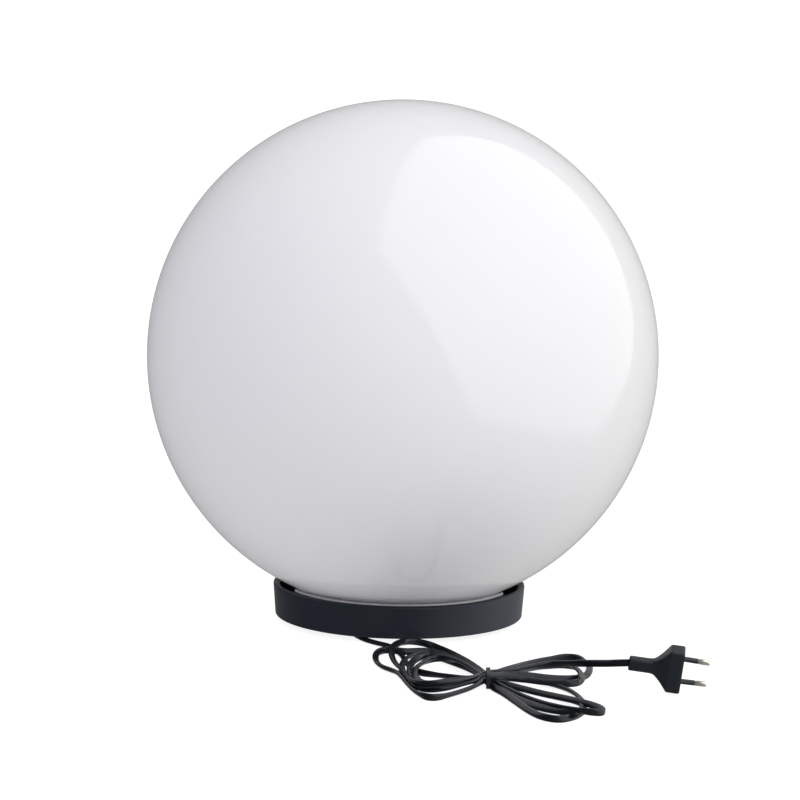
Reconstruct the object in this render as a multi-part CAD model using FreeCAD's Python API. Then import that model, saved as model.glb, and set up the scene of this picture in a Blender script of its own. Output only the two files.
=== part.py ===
"""Garden globe light: an opal globe on a low black base, with a tied flat cord and a two-pin plug.

Millimetres, +Z up, front towards -Y. The origin is the centre of the base on the ground.
Each function below makes one sub-part as its own solid or group of separate solids.
"""
import os
from math import cos, degrees, pi, radians, sin, sqrt, tan

import FreeCAD
import Part
from FreeCAD import Rotation, Vector

# ---- driving dimensions: globe ----
GLOBE_R = 200.0                 # outside radius of the opal sphere
GLOBE_WALL = 2.5
GLOBE_CENTRE_Z = 209.7
GLOBE_RIM_Z = 29.3              # flat underside of the sphere, around the neck
NECK_R = 79.7                   # outside radius of the neck
NECK_BOTTOM_Z = 21.5
LUG_R = 91.0                    # bayonet lugs on the neck
LUG_TOP_Z = 24.5
LUG_HEIGHT = 2.6
LUG_HALF_ANGLE = 20.0
LUG_AZIMUTHS = (30.0, 210.0)    # azimuths are counted from the front towards +X

# ---- driving dimensions: seal ring on the base, in two halves between the slots ----
SEAL_INNER_R = 80.8
SEAL_OUTER_R = 90.0
SEAL_TOP_Z = 29.0
SEAL_HALF_ANGLE = 64.5
SEAL_STOP_SIZE = (3.0, 1.6, 0.8)    # raised block at each end of a half: width, depth, height above the seal

# ---- driving dimensions: base ----
BASE_TOP_Z = 29.6               # top of the raised lip
FLANGE_TOP_Z = 27.8             # seat inside the lip
LIP_INNER_R = 96.0
BASE_RIM_Z = 4.0                # gap under the rim that lets the cord out
BASE_TOP_R = 99.2
BASE_RIM_R = 97.5
BASE_EDGE_R = 2.0               # rounded top edge
BASE_FOOT_EDGE = 1.0
FLANGE_THICKNESS = 3.0
FLANGE_HOLE_R = 80.5
SKIRT_INNER_TOP_R = 94.8
SKIRT_INNER_RIM_R = 94.2
SLOT_R = 94.0                   # entry slots for the lugs
SLOT_AZIMUTHS = (90.0, 270.0)
SLOT_HALF_ANGLE = 23.0
BOSS_CIRCLE_R = 88.5
BOSS_R = 4.0
BOSS_TOP_Z = 21.0
BOSS_AZIMUTHS = (45.0, 135.0, 225.0, 315.0)
BOSS_WEB = (5.0, 6.6)           # web from each boss to the skirt: width, depth
BOSS_WEB_R = 95.4               # the web ends inside the skirt's wall
LUG_STOP_HALF_ANGLE = 2.0
LUG_STOP_DROP = 2.2             # how far a stop hangs below the flange
PLATE_R = 93.4
PLATE_Z = 12.0
PLATE_THICKNESS = 3.0
PLATE_TOP_Z = PLATE_Z + PLATE_THICKNESS
SCREW_R = 1.65
SCREW_HOLE_R = 1.75
FOOT_CIRCLE_R = 70.0
FOOT_AZIMUTHS = (0.0, 90.0, 180.0, 270.0)
FOOT_R = 7.5
FOOT_PAD_HEIGHT = 5.0
FOOT_SPIGOT_R = 3.0

# ---- driving dimensions: lampholder and bulb ----
HOLDER_Z = 28.0                 # underside of the lampholder
HOLDER_TOP_Z = 78.0
HOLDER_R = 20.5
SHELL_R = 13.55                 # inside of the threaded shell
SHELL_WALL = 0.5
NIPPLE_R = 5.0
BULB_CAP_R = 13.2
BULB_TIP_Z = 51.6
BULB_BALL_R = 30.0
BULB_BALL_Z = 128.0
NIPPLE_BORE_R = 3.6
NIPPLE_ENDS_Z = (19.5, 36.0)
NUT_CORNER_R = 8.1
NUT_HEIGHT = 3.6
BRACKET_TOP_Z = 28.0
BRACKET_SHEET = 1.5
BRACKET_WIDTH = 18.0
DECK_Z = 47.0                   # deck under the threaded shell
SHELL_ENDS_Z = (51.0, 72.5)
CAP_TOP_Z = 78.0
CAP_INNER_R = 11.6
COLLAR_TOP_Z = 114.0
BOARD_Z = 112.0
BOARD_R = 26.1
BOARD_TOP_Z = 113.2
CHIP_CIRCLE_R = 15.0
DIFFUSER_Z = 114.2
DIFFUSER_WALL = 1.2

# ---- driving dimensions: cord, hank and plug ----
CORD_WIDTH = 5.4
CORD_THICKNESS = 3.3
CORD_EXIT = (-45.0, -50.0, 8.2)
GROMMET_LENGTH = 22.0
HANK_HEIGHT = 12.2
WAIST = (66.0, -234.0)
WAIST_HALF = (5.0, 10.4)
TIE_WALL = 1.2
PLUG_WIDTH = 34.0
PLUG_THICKNESS = 14.0
PLUG_LENGTH = 39.0
PLUG_HEAD = 10.5
PLUG_NECK_HALF = 5.5            # half width of the neck at the cord
PLUG_NECK_WAIST = 5.2           # and where it meets the shoulders
PLUG_SHOULDER = 22.0            # where the shoulders meet the neck, behind the face
PLUG_NECK_THICK = (4.4, 3.6)    # half thickness at the shoulder and at the cord
PIN_R = 2.0
PIN_SHANK_R = 1.7
PIN_ROOT = 8.0                  # depth of each pin inside the body
PIN_LENGTH = 19.0
SLEEVE_LENGTH = 10.0
PIN_HALF_SPACING = 9.3
PIN_TOE_IN = 1.5                # degrees that each pin leans inwards
PLUG_FACE = (205.5, -251.5)     # centre of the pin face, in plan
PLUG_YAW = -3.0                 # the pins point right and a little towards the front
PLUG_PITCH = 6.5                # the pins point slightly down
PLUG_LEAN = 17.0                # the broad side leans towards the front

# Route of the cord from the grommet to the hank, centre line.
LEAD_OUT_ROUTE = (
    CORD_EXIT,
    (-40.5, -62.0, 6.6),
    (-34.5, -76.5, 3.4),
    (-26.5, -89.5, 1.9),
    (-17.0, -102.0, 1.9),
    (-6.0, -114.5, 2.4),
)
# Route from the hank to the back of the plug; the plug's own end point is added after it.
LEAD_PLUG_ROUTE = (
    (108.0, -203.0, 9.8),
    (121.0, -205.0, 11.2),
    (133.5, -213.5, 13.6),
    (145.0, -227.0, 16.8),
    (152.5, -239.0, 19.6),
    (159.5, -246.5, 21.7),
)
# Outline of the hank's two fans of loops, in plan.
HANK_LEFT = (
    (66, -224), (60, -190), (42, -134), (28, -110), (10, -101.5), (-8, -105), (-19, -130), (-21, -165),
    (-12, -202), (0, -250), (12, -284), (26, -291), (45, -278), (66, -244),
)
HANK_RIGHT = (
    (66, -224), (84, -180), (112, -141), (136, -134), (148, -158), (147, -200), (138, -235), (140, -270),
    (148, -305), (146, -326), (131, -347), (112, -358), (96, -349), (84, -315), (66, -244),
)

# ---- driving dimensions: inner cord, clamp and terminals ----
POCKET_SIZE = (24.0, 23.5)      # outlet pocket under the plate: width, length
POCKET_FLOOR_Z = 4.8
POCKET_WALL = 2.5
POCKET_FLOOR_THICKNESS = 1.2
GROOVE_SIDES = (-1.5, 7.0)      # cord groove behind the pocket, in the outlet's own frame
GROOVE_START = 20.5
CLAMP_SCREW_OFFSET = 8.5        # from the clamp's middle to each of its screws
BRACKET_SCREW_X = 26.0
PILOT_R = 1.3
CLAMP_CENTRE = (-59.0, 6.0)
CLAMP_BAR_SIZE = (24.0, 7.0, 2.6)
CLAMP_BAR_Z = 19.4
CLAMP_SCREW_HOLE_R = 1.7
PILLAR_R = 3.2
PILLAR_TOP_Z = 19.0
SADDLE_SIZE = (10.0, 7.0, 0.85)
TERMINAL_CENTRE = (-54.0, 33.0)
TERMINAL_SIZE = (18.0, 16.0, 12.0)
TERMINAL_POLE_X = 4.5           # each wire hole's distance from the block's middle
TERMINAL_WIRE_Z = 19.0
TERMINAL_WELL_R = 2.1
TERMINAL_WELL_Y = 4.0
TERMINAL_WELL_Z = 21.5
WIRE_R = 1.1
OUTLET_HOLE = (4.2, 2.7)        # half width and half height of the ovals along the outlet
GROMMET_NECK = (4.15, 2.65)
NOSE_ROOT = (4.6, 3.1)
NOSE_TIP = (3.5, 2.5)
BORE_FRONT = (2.95, 1.95)
BORE_BACK = (3.3, 2.4)
GROMMET_FLANGE = (12.0, 1.5, 5.6)

Z_AXIS = Vector(0, 0, 1)


# ---- helpers ----
def at(azimuth, radius, z=0.0):
    """Point on a circle about Z, azimuth in degrees from the front (-Y) towards +X."""
    angle = radians(azimuth)
    return Vector(radius * sin(angle), -radius * cos(angle), z)


def revolve(profile, angle=360.0):
    """Solid of revolution about Z of a closed (radius, z) outline; a 4-number item is an arc's middle and end."""
    edges = []
    last = Vector(profile[0][0], 0, profile[0][1])
    for item in list(profile[1:]) + [profile[0]]:
        if len(item) == 4:
            end = Vector(item[2], 0, item[3])
            edges.append(Part.Arc(last, Vector(item[0], 0, item[1]), end).toShape())
        else:
            end = Vector(item[0], 0, item[1])
            if last.distanceToPoint(end) > 1e-6:
                edges.append(Part.LineSegment(last, end).toShape())
        last = end
    return Part.Face(Part.Wire(edges)).revolve(Vector(0, 0, 0), Z_AXIS, angle)


def cylinder(radius, low, high, centre=(0.0, 0.0)):
    """Upright cylinder between two heights."""
    return Part.makeCylinder(radius, high - low, Vector(centre[0], centre[1], low), Z_AXIS)


def tube(outer, inner, low, high, centre=(0.0, 0.0)):
    """Upright tube between two heights."""
    return cylinder(outer, low, high, centre).cut(cylinder(inner, low - 1, high + 1, centre))


def block(centre, size, low):
    """Upright box with its plan centre, its size and its bottom height."""
    corner = Vector(centre[0] - size[0] / 2, centre[1] - size[1] / 2, low)
    return Part.makeBox(size[0], size[1], size[2], corner)


def sector(inner, outer, low, high, azimuth, half_angle):
    """Part of a ring about Z, centred on an azimuth."""
    ring = revolve(((inner, low), (outer, low), (outer, high), (inner, high)), 2 * half_angle)
    ring.rotate(Vector(0, 0, 0), Z_AXIS, azimuth - half_angle - 90.0)
    return ring


def fuse(shapes):
    """One shape out of several that touch or overlap."""
    result = shapes[0].multiFuse(list(shapes[1:])) if len(shapes) > 1 else shapes[0]
    return result.removeSplitter()


def turned(shape, azimuth):
    """Copy of a shape turned about Z."""
    copy = shape.copy()
    copy.rotate(Vector(0, 0, 0), Z_AXIS, azimuth)
    return copy


def rounded_path(points):
    """Straight runs joined by tangent arcs, each as large as 0.45 of its shorter run allows."""
    points = [Vector(*p) for p in points]
    edges = []
    radii = []
    start = points[0]
    for before, corner, after in zip(points, points[1:], points[2:]):
        a = before - corner
        b = after - corner
        reach = 0.45 * min(a.Length, b.Length)
        half_turn = (pi - a.getAngle(b)) / 2
        radius = reach / tan(half_turn)
        radii.append(round(radius, 1))
        a.normalize()
        b.normalize()
        arc_in = corner + a * reach
        arc_out = corner + b * reach
        middle = (a + b).normalize()
        centre = corner + middle * (radius / cos(half_turn))
        edges.append(Part.LineSegment(start, arc_in).toShape())
        edges.append(Part.Arc(arc_in, centre - middle * radius, arc_out).toShape())
        start = arc_out
    edges.append(Part.LineSegment(start, points[-1]).toShape())
    print("cord arc radii (mm):", radii)
    return Part.Wire(edges)


def flat_cord(points, wide_upright, label):
    """Flat cord swept along a rounded path; its wide side is level or upright."""
    path = rounded_path(points)
    start = Vector(*points[0])
    along = (Vector(*points[1]) - start).normalize()
    level = along.cross(Z_AXIS).normalize()
    upright = level.cross(along).normalize()
    wide, narrow = (upright, level) if wide_upright else (level, upright)
    half = CORD_THICKNESS / 2
    flat = CORD_WIDTH / 2 - half
    corners = [start + wide * flat * i + narrow * half * j for i, j in ((-1, -1), (1, -1), (1, 1), (-1, 1))]
    right = start + wide * (flat + half)
    left = start - wide * (flat + half)
    section = Part.Wire([
        Part.LineSegment(corners[0], corners[1]).toShape(),
        Part.Arc(corners[1], right, corners[2]).toShape(),
        Part.LineSegment(corners[2], corners[3]).toShape(),
        Part.Arc(corners[3], left, corners[0]).toShape(),
    ])
    shell = Part.BRepOffsetAPI.MakePipeShell(path)
    shell.setBiNormalMode(Z_AXIS)
    shell.add(section)
    shell.build()
    shell.makeSolid()
    solid = shell.shape()
    area = 2 * flat * CORD_THICKNESS + pi * half * half
    print(label, "volume", round(solid.Volume, 1), "section x length", round(area * path.Length, 1))
    return solid


# ---- globe ----
def make_globe():
    """Opal sphere with a flat underside, a short neck and two bayonet lugs."""
    inner_r = GLOBE_R - GLOBE_WALL
    neck_inner = NECK_R - GLOBE_WALL
    rim_r = sqrt(GLOBE_R ** 2 - (GLOBE_CENTRE_Z - GLOBE_RIM_Z) ** 2)
    inner_z = GLOBE_CENTRE_Z - sqrt(inner_r ** 2 - neck_inner ** 2)
    shell = revolve((
        (rim_r, GLOBE_RIM_Z),
        (GLOBE_R, GLOBE_CENTRE_Z, 0.0, GLOBE_CENTRE_Z + GLOBE_R),
        (0.0, GLOBE_CENTRE_Z + inner_r),
        (inner_r, GLOBE_CENTRE_Z, neck_inner, inner_z),
        (neck_inner, NECK_BOTTOM_Z),
        (NECK_R, NECK_BOTTOM_Z),
        (NECK_R, GLOBE_RIM_Z),
    ))
    parts = [shell]
    for azimuth in LUG_AZIMUTHS:
        parts.append(sector(NECK_R - 1, LUG_R, LUG_TOP_Z - LUG_HEIGHT, LUG_TOP_Z, azimuth, LUG_HALF_ANGLE))
    return fuse(parts)


def make_neck_gasket():
    """Soft seal on the base's seat under the globe's rim: a front and a rear half, each with raised ends."""
    wide, deep, high = SEAL_STOP_SIZE
    stop = Part.makeBox(wide, deep, SEAL_TOP_Z + high - FLANGE_TOP_Z, Vector(-wide / 2, -SEAL_OUTER_R, FLANGE_TOP_Z))
    halves = []
    for middle in (0.0, 180.0):
        ring = sector(SEAL_INNER_R, SEAL_OUTER_R, FLANGE_TOP_Z, SEAL_TOP_Z, middle, SEAL_HALF_ANGLE)
        ends = [turned(stop, middle + side * (SEAL_HALF_ANGLE - 1.0)) for side in (-1, 1)]
        halves.append(fuse([ring] + ends))
    return halves


# ---- base ----
def make_base_housing():
    """Black cap: skirt with a raised lip, flange with two entry slots, lug stops and screw bosses."""
    corner = BASE_EDGE_R * (1 - cos(pi / 4))
    foot = BASE_FOOT_EDGE * (1 - cos(pi / 4))
    under = FLANGE_TOP_Z - FLANGE_THICKNESS
    shell = revolve((
        (BASE_RIM_R - BASE_FOOT_EDGE, BASE_RIM_Z),
        (BASE_RIM_R - foot, BASE_RIM_Z + foot, BASE_RIM_R, BASE_RIM_Z + BASE_FOOT_EDGE),
        (BASE_TOP_R, BASE_TOP_Z - BASE_EDGE_R),
        (BASE_TOP_R - corner, BASE_TOP_Z - corner, BASE_TOP_R - BASE_EDGE_R, BASE_TOP_Z),
        (LIP_INNER_R, BASE_TOP_Z),
        (LIP_INNER_R, FLANGE_TOP_Z),
        (FLANGE_HOLE_R, FLANGE_TOP_Z),
        (FLANGE_HOLE_R, under),
        (SKIRT_INNER_TOP_R, under),
        (SKIRT_INNER_RIM_R, BASE_RIM_Z),
    ))
    for azimuth in SLOT_AZIMUTHS:
        shell = shell.cut(sector(FLANGE_HOLE_R - 2, SLOT_R, under - 1, FLANGE_TOP_Z + 1, azimuth, SLOT_HALF_ANGLE))
    parts = [shell]
    for azimuth in BOSS_AZIMUTHS:
        centre = at(azimuth, BOSS_CIRCLE_R)
        boss = cylinder(BOSS_R, PLATE_TOP_Z, BOSS_TOP_Z, centre)
        corner_point = Vector(-BOSS_WEB[0] / 2, -BOSS_WEB_R, PLATE_TOP_Z)
        web = Part.makeBox(*BOSS_WEB, BOSS_TOP_Z - PLATE_TOP_Z, corner_point)
        parts.append(boss.fuse(turned(web, azimuth)))
    for lug in LUG_AZIMUTHS:
        stop = lug - LUG_HALF_ANGLE - 2 * LUG_STOP_HALF_ANGLE
        low = under - LUG_STOP_DROP
        parts.append(sector(FLANGE_HOLE_R + 1, LUG_R, low, under + 1, stop, LUG_STOP_HALF_ANGLE))
    body = fuse(parts)
    for azimuth in BOSS_AZIMUTHS:
        body = body.cut(cylinder(SCREW_R, PLATE_TOP_Z - 1, PLATE_TOP_Z + 5, at(azimuth, BOSS_CIRCLE_R)))
    return body


def outlet_frame(shape):
    """Put a shape made along -Y at the cord outlet, pointing along the cord's first run."""
    run = Vector(*LEAD_OUT_ROUTE[1]) - Vector(*CORD_EXIT)
    flat = Vector(run.x, run.y, 0).normalize()
    shape.rotate(Vector(0, 0, 0), Z_AXIS, plan_turn(Vector(0, -1, 0), flat))
    shape.translate(Vector(CORD_EXIT[0], CORD_EXIT[1], 0) - flat * GROMMET_LENGTH)
    return shape


def plan_turn(start, end):
    """Signed plan angle from one level direction to another, in degrees."""
    cross = start.x * end.y - start.y * end.x
    return degrees(start.getAngle(end)) * (1 if cross > 0 else -1)


def oval(half_wide, half_high, y, z):
    """Closed elliptical wire in a plane across Y."""
    ellipse = Part.Ellipse(Vector(0, 0, 0), half_wide, half_high).toShape()
    wire = Part.Wire([ellipse])
    wire.rotate(Vector(0, 0, 0), Vector(1, 0, 0), 90)
    wire.translate(Vector(0, y, z))
    return wire


def cord_bore(front, back, z):
    """Oval hole for the cord along Y, a little wider at its inner end."""
    return Part.makeLoft([oval(*BORE_FRONT, front, z), oval(*BORE_BACK, back, z)], True)


def make_base_plate():
    """Bottom plate with foot posts, screw holes, a cord outlet pocket, a clamp seat and bracket pads."""
    plate = cylinder(PLATE_R, PLATE_Z, PLATE_TOP_Z)
    wide, deep = POCKET_SIZE
    pocket = Part.makeBox(wide, deep, PLATE_Z - POCKET_FLOOR_Z, Vector(-wide / 2, 0, POCKET_FLOOR_Z))
    plate = plate.fuse(outlet_frame(pocket))
    for azimuth in FOOT_AZIMUTHS:
        plate = plate.fuse(cylinder(FOOT_R + 0.5, FOOT_PAD_HEIGHT, PLATE_Z, at(azimuth, FOOT_CIRCLE_R)))
    for side in (-1, 1):
        centre = (CLAMP_CENTRE[0] + side * CLAMP_SCREW_OFFSET, CLAMP_CENTRE[1])
        plate = plate.fuse(cylinder(PILLAR_R, PLATE_TOP_Z, PILLAR_TOP_Z, centre))
    room = (wide - 2 * POCKET_WALL, deep - 2 * POCKET_WALL)
    floor = POCKET_FLOOR_Z + POCKET_FLOOR_THICKNESS
    cuts = [outlet_frame(Part.makeBox(*room, 20.0, Vector(-room[0] / 2, POCKET_WALL, floor)))]
    groove_x, groove_width = GROOVE_SIDES[0], GROOVE_SIDES[1] - GROOVE_SIDES[0]
    for length, low in ((deep - GROOVE_START, PLATE_Z + 0.6), (8.5, PLATE_Z + 2.0)):
        cuts.append(outlet_frame(Part.makeBox(groove_width, length, 5.0, Vector(groove_x, GROOVE_START, low))))
    hole = [oval(*OUTLET_HOLE, y, CORD_EXIT[2]) for y in (-1, POCKET_WALL + 1.5)]
    cuts.append(outlet_frame(Part.makeLoft(hole, True)))
    for azimuth in BOSS_AZIMUTHS:
        cuts.append(cylinder(SCREW_HOLE_R, PLATE_Z - 1, PLATE_TOP_Z + 1, at(azimuth, BOSS_CIRCLE_R)))
    for azimuth in FOOT_AZIMUTHS:
        cuts.append(cylinder(FOOT_SPIGOT_R, FOOT_PAD_HEIGHT - 1, 11.0, at(azimuth, FOOT_CIRCLE_R)))
    for side in (-1, 1):
        cuts.append(cylinder(PILOT_R, 13.5, 20.0, (CLAMP_CENTRE[0] + side * CLAMP_SCREW_OFFSET, CLAMP_CENTRE[1])))
        cuts.append(cylinder(PILOT_R, 13.5, 16.0, (side * BRACKET_SCREW_X, 0)))
    for cut in cuts:
        plate = plate.cut(cut)
    return plate.removeSplitter()


def screw(centre, tip_z, seat_z, radius, head_r, head_height, head_up):
    """Pan-head screw with a cross recess; the head sits on seat_z, above it or below it."""
    shank = cylinder(radius, min(tip_z, seat_z), max(tip_z, seat_z), centre)
    low = seat_z if head_up else seat_z - head_height
    head = cylinder(head_r, low, low + head_height, centre)
    top = low + head_height if head_up else low
    rim = [e for e in head.Edges if abs(e.BoundBox.Center.z - top) < 0.01]
    head = head.makeFillet(0.35 * head_height, rim)
    recess_low = top - 0.9 if head_up else top - 0.1
    arms = [block(centre, (head_r, 0.9, 1.0), recess_low), block(centre, (0.9, head_r, 1.0), recess_low)]
    return fuse([head, shank]).cut(arms[0]).cut(arms[1])


def make_plate_screws():
    """Four screws that hold the bottom plate to the housing."""
    return [screw(at(a, BOSS_CIRCLE_R), 19.5, PLATE_Z, SCREW_R, 3.5, 2.2, False) for a in BOSS_AZIMUTHS]


def make_rubber_feet():
    """Four rubber feet with spigots pushed into the plate's posts."""
    feet = []
    for azimuth in FOOT_AZIMUTHS:
        centre = at(azimuth, FOOT_CIRCLE_R)
        pad = cylinder(FOOT_R, 0, FOOT_PAD_HEIGHT, centre)
        rim = [e for e in pad.Edges if abs(e.BoundBox.Center.z) < 0.01]
        pad = pad.makeFillet(0.8, rim)
        feet.append(fuse([pad, cylinder(FOOT_SPIGOT_R - 0.02, FOOT_PAD_HEIGHT, 10.6, centre)]))
    return feet


# ---- cord outlet, clamp and terminals ----
def make_cord_grommet():
    """Oval tapered strain relief through the pocket's front wall, with a flange inside it."""
    z = CORD_EXIT[2]
    nose = Part.makeLoft([oval(*NOSE_ROOT, 0, z), oval(*NOSE_TIP, -GROMMET_LENGTH, z)], True, True)
    neck = Part.makeLoft([oval(*GROMMET_NECK, 0, z), oval(*GROMMET_NECK, POCKET_WALL, z)], True)
    low = POCKET_FLOOR_Z + POCKET_FLOOR_THICKNESS
    flange = Part.makeBox(*GROMMET_FLANGE, Vector(-GROMMET_FLANGE[0] / 2, POCKET_WALL, low))
    body = outlet_frame(fuse([nose, neck, flange]))
    return body.cut(outlet_frame(cord_bore(-GROMMET_LENGTH - 1, 6, z)))


def inner_cord_route():
    """Centre line of the cord from its outlet back to the clamp and the terminals."""
    run = Vector(*LEAD_OUT_ROUTE[1]) - Vector(*CORD_EXIT)
    flat = Vector(run.x, run.y, 0).normalize()
    back = Vector(*CORD_EXIT) - flat * (GROMMET_LENGTH + 8)
    start = Vector(*CORD_EXIT) - flat * 0.5
    return (tuple(start), tuple(back), (-58.5, -7.5, 17.2), (-59.0, 3.5, 17.7), (-59.0, 14.0, 17.7))


def make_cord_inner():
    """Flat cord inside the base, ending where its sheath is stripped."""
    return flat_cord(inner_cord_route(), False, "cord_inner")


def make_cord_clamp():
    """Bar that presses the cord onto the plate's seat."""
    bar = block(CLAMP_CENTRE, CLAMP_BAR_SIZE, CLAMP_BAR_Z)
    for side in (-1, 1):
        centre = (CLAMP_CENTRE[0] + side * CLAMP_SCREW_OFFSET, CLAMP_CENTRE[1])
        bar = bar.cut(cylinder(CLAMP_SCREW_HOLE_R, CLAMP_BAR_Z - 1, CLAMP_BAR_Z + 4, centre))
    return bar


def make_clamp_saddle():
    """Seat under the cord, between the clamp's two pillars."""
    return block(CLAMP_CENTRE, SADDLE_SIZE, PLATE_TOP_Z)


def make_clamp_screws():
    """Two screws of the cord clamp."""
    centres = [(CLAMP_CENTRE[0] + side * CLAMP_SCREW_OFFSET, CLAMP_CENTRE[1]) for side in (-1, 1)]
    seat = CLAMP_BAR_Z + CLAMP_BAR_SIZE[2]
    return [screw(centre, 14.5, seat, PILOT_R - 0.02, 2.6, 1.8, True) for centre in centres]


def make_terminal_block():
    """Two-pole terminal block with wire holes along Y and screw wells."""
    size = TERMINAL_SIZE
    body = block(TERMINAL_CENTRE, size, PLATE_TOP_Z)
    for side in (-1, 1):
        x = TERMINAL_CENTRE[0] + side * TERMINAL_POLE_X
        mouth = Vector(x, TERMINAL_CENTRE[1] - size[1] / 2 - 1, TERMINAL_WIRE_Z)
        body = body.cut(Part.makeCylinder(WIRE_R + 0.5, size[1] + 2, mouth, Vector(0, 1, 0)))
        for row in (-TERMINAL_WELL_Y, TERMINAL_WELL_Y):
            well = cylinder(TERMINAL_WELL_R, TERMINAL_WELL_Z, 28, (x, TERMINAL_CENTRE[1] + row))
            body = body.cut(well)
    return body


def make_terminal_screws():
    """Four clamp screws in the terminal block's wells."""
    screws = []
    for side in (-1, 1):
        for row in (-TERMINAL_WELL_Y, TERMINAL_WELL_Y):
            centre = (TERMINAL_CENTRE[0] + side * TERMINAL_POLE_X, TERMINAL_CENTRE[1] + row)
            body = cylinder(TERMINAL_WELL_R - 0.3, TERMINAL_WELL_Z + 0.1, TERMINAL_WELL_Z + 4.1, centre)
            screws.append(body.cut(block(centre, (4.0, 0.7, 1.0), 24.9)))
    return screws


def wire_run(points, radius):
    """Round insulated wire along a rounded path."""
    path = rounded_path(points)
    start = Vector(*points[0])
    ring = Part.Wire([Part.Circle(start, Vector(*points[1]) - start, radius).toShape()])
    return path.makePipeShell([ring], True, False)


def make_wire(side):
    """One insulated wire: from the stripped cord through the terminal block to the lampholder."""
    x = TERMINAL_CENTRE[0] + side * TERMINAL_POLE_X
    z = TERMINAL_WIRE_Z
    y_front = TERMINAL_CENTRE[1] - TERMINAL_SIZE[1] / 2
    y_back = TERMINAL_CENTRE[1] + TERMINAL_SIZE[1] / 2
    start_x = -59.0 + side * 1.2
    first = wire_run(((start_x, 14.2, 17.7), (start_x, 17.5, 18.1), (x, y_front - 2.5, z),
                      (x, y_front + 4.0, z)), WIRE_R)
    if side < 0:
        route = ((x, y_back - 4, z), (x, y_back + 6, z + 0.6), (-46, 52, 23), (-30, 47, 29), (-21, 28, 36),
                 (-20, 9, 37))
    else:
        route = ((x, y_back - 4, z), (x, y_back + 3.5, z + 0.6), (-38, 43, 23), (-26, 33, 28), (-20.5, 18, 32.6),
                 (-20, 3, 33.6))
    end = Vector(*route[-1])
    last = (end.x + 4.5, end.y - 3.0, end.z + 0.4)
    second = wire_run(route + (last,), WIRE_R)
    return [first, second]


# ---- lampholder ----
def make_holder_bracket():
    """Bent steel strip that stands on the plate and carries the lampholder."""
    low, foot = PLATE_TOP_Z, PLATE_TOP_Z + BRACKET_SHEET
    under, top = BRACKET_TOP_Z - BRACKET_SHEET, BRACKET_TOP_Z
    outline = ((-32, low), (-20, low), (-16, under), (16, under), (20, low), (32, low),
               (32, foot), (21.1, foot), (17.1, top), (-17.1, top), (-21.1, foot), (-32, foot))
    wire = Part.makePolygon([Vector(x, -BRACKET_WIDTH / 2, z) for x, z in outline + outline[:1]])
    strip = Part.Face(wire).extrude(Vector(0, BRACKET_WIDTH, 0))
    strip = strip.cut(cylinder(NIPPLE_R + 0.1, 20, 30))
    for side in (-1, 1):
        strip = strip.cut(cylinder(CLAMP_SCREW_HOLE_R, 14, 18, (side * BRACKET_SCREW_X, 0)))
    return strip


def make_bracket_screws():
    """Two screws that hold the bracket to the plate."""
    seat = PLATE_TOP_Z + BRACKET_SHEET
    return [screw((side * BRACKET_SCREW_X, 0), 14.2, seat, PILOT_R - 0.02, 2.8, 1.8, True) for side in (-1, 1)]


def make_nipple():
    """Hollow threaded tube that joins bracket and lampholder."""
    return tube(NIPPLE_R, NIPPLE_BORE_R, *NIPPLE_ENDS_Z)


def make_nipple_nut():
    """Hexagon nut under the bracket."""
    low = BRACKET_TOP_Z - BRACKET_SHEET - NUT_HEIGHT
    turns = [radians(60 * i) for i in range(7)]
    corners = [Vector(NUT_CORNER_R * cos(a), NUT_CORNER_R * sin(a), low) for a in turns]
    nut = Part.Face(Part.makePolygon(corners)).extrude(Vector(0, 0, NUT_HEIGHT))
    return nut.cut(cylinder(NIPPLE_R, 20, 30))


def make_holder_body():
    """Lampholder body: moulded cup with a terminal chamber, a deck and a flared mouth."""
    body = revolve((
        (0.0, HOLDER_Z), (17.0, HOLDER_Z), (HOLDER_R, 31.5), (HOLDER_R, 66.0), (22.5, 70.0), (22.5, HOLDER_TOP_Z),
        (19.0, HOLDER_TOP_Z), (SHELL_R + SHELL_WALL, 73.0), (SHELL_R + SHELL_WALL, DECK_Z), (0.0, DECK_Z),
    ))
    chamber = cylinder(15.5, 32.0, 43.0)
    window = Part.makeBox(10, 26, 9, Vector(-24, -8, 31.5))
    return body.cut(chamber).cut(cylinder(NIPPLE_R, 26, 33)).cut(window)


def make_holder_shell():
    """Threaded brass shell of the lampholder."""
    return tube(SHELL_R + SHELL_WALL, SHELL_R, *SHELL_ENDS_Z)


def make_centre_contact():
    """Sprung centre tongue on the deck."""
    outline = ((-9, 47), (6, 47), (6, 47.6), (-7.5, 47.6), (2.5, 51.0), (2.5, 51.25), (-3.0, 51.0), (-9, 47.9))
    wire = Part.makePolygon([Vector(x, -2.5, z) for x, z in outline + outline[:1]])
    return Part.Face(wire).extrude(Vector(0, 5, 0))


def make_side_contact():
    """Side tongue from the deck up to the threaded shell."""
    foot = Part.makeBox(5.0, 6.0, 0.6, Vector(8.6, -3, DECK_Z))
    riser = Part.makeBox(0.6, 6.0, 4.0, Vector(12.9, -3, DECK_Z))
    return fuse([foot, riser])


# ---- bulb ----
def make_bulb_cap():
    """Screw cap with rounded threads, a collar at its top and the inside left for the driver."""
    pitch = 3.6
    points = [(BULB_CAP_R - 0.9, 55.0)]
    z = 55.0
    for _ in range(5):
        points.append((BULB_CAP_R, z + pitch * 0.5, BULB_CAP_R - 0.9, z + pitch))
        z += pitch
    outline = [(8.5, 53.6), (10.5, 53.6), *points, (BULB_CAP_R - 0.4, 74.2), (BULB_CAP_R - 0.4, CAP_TOP_Z),
               (CAP_INNER_R, CAP_TOP_Z), (CAP_INNER_R, 55.2), (8.5, 54.4)]
    return revolve(outline)


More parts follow.
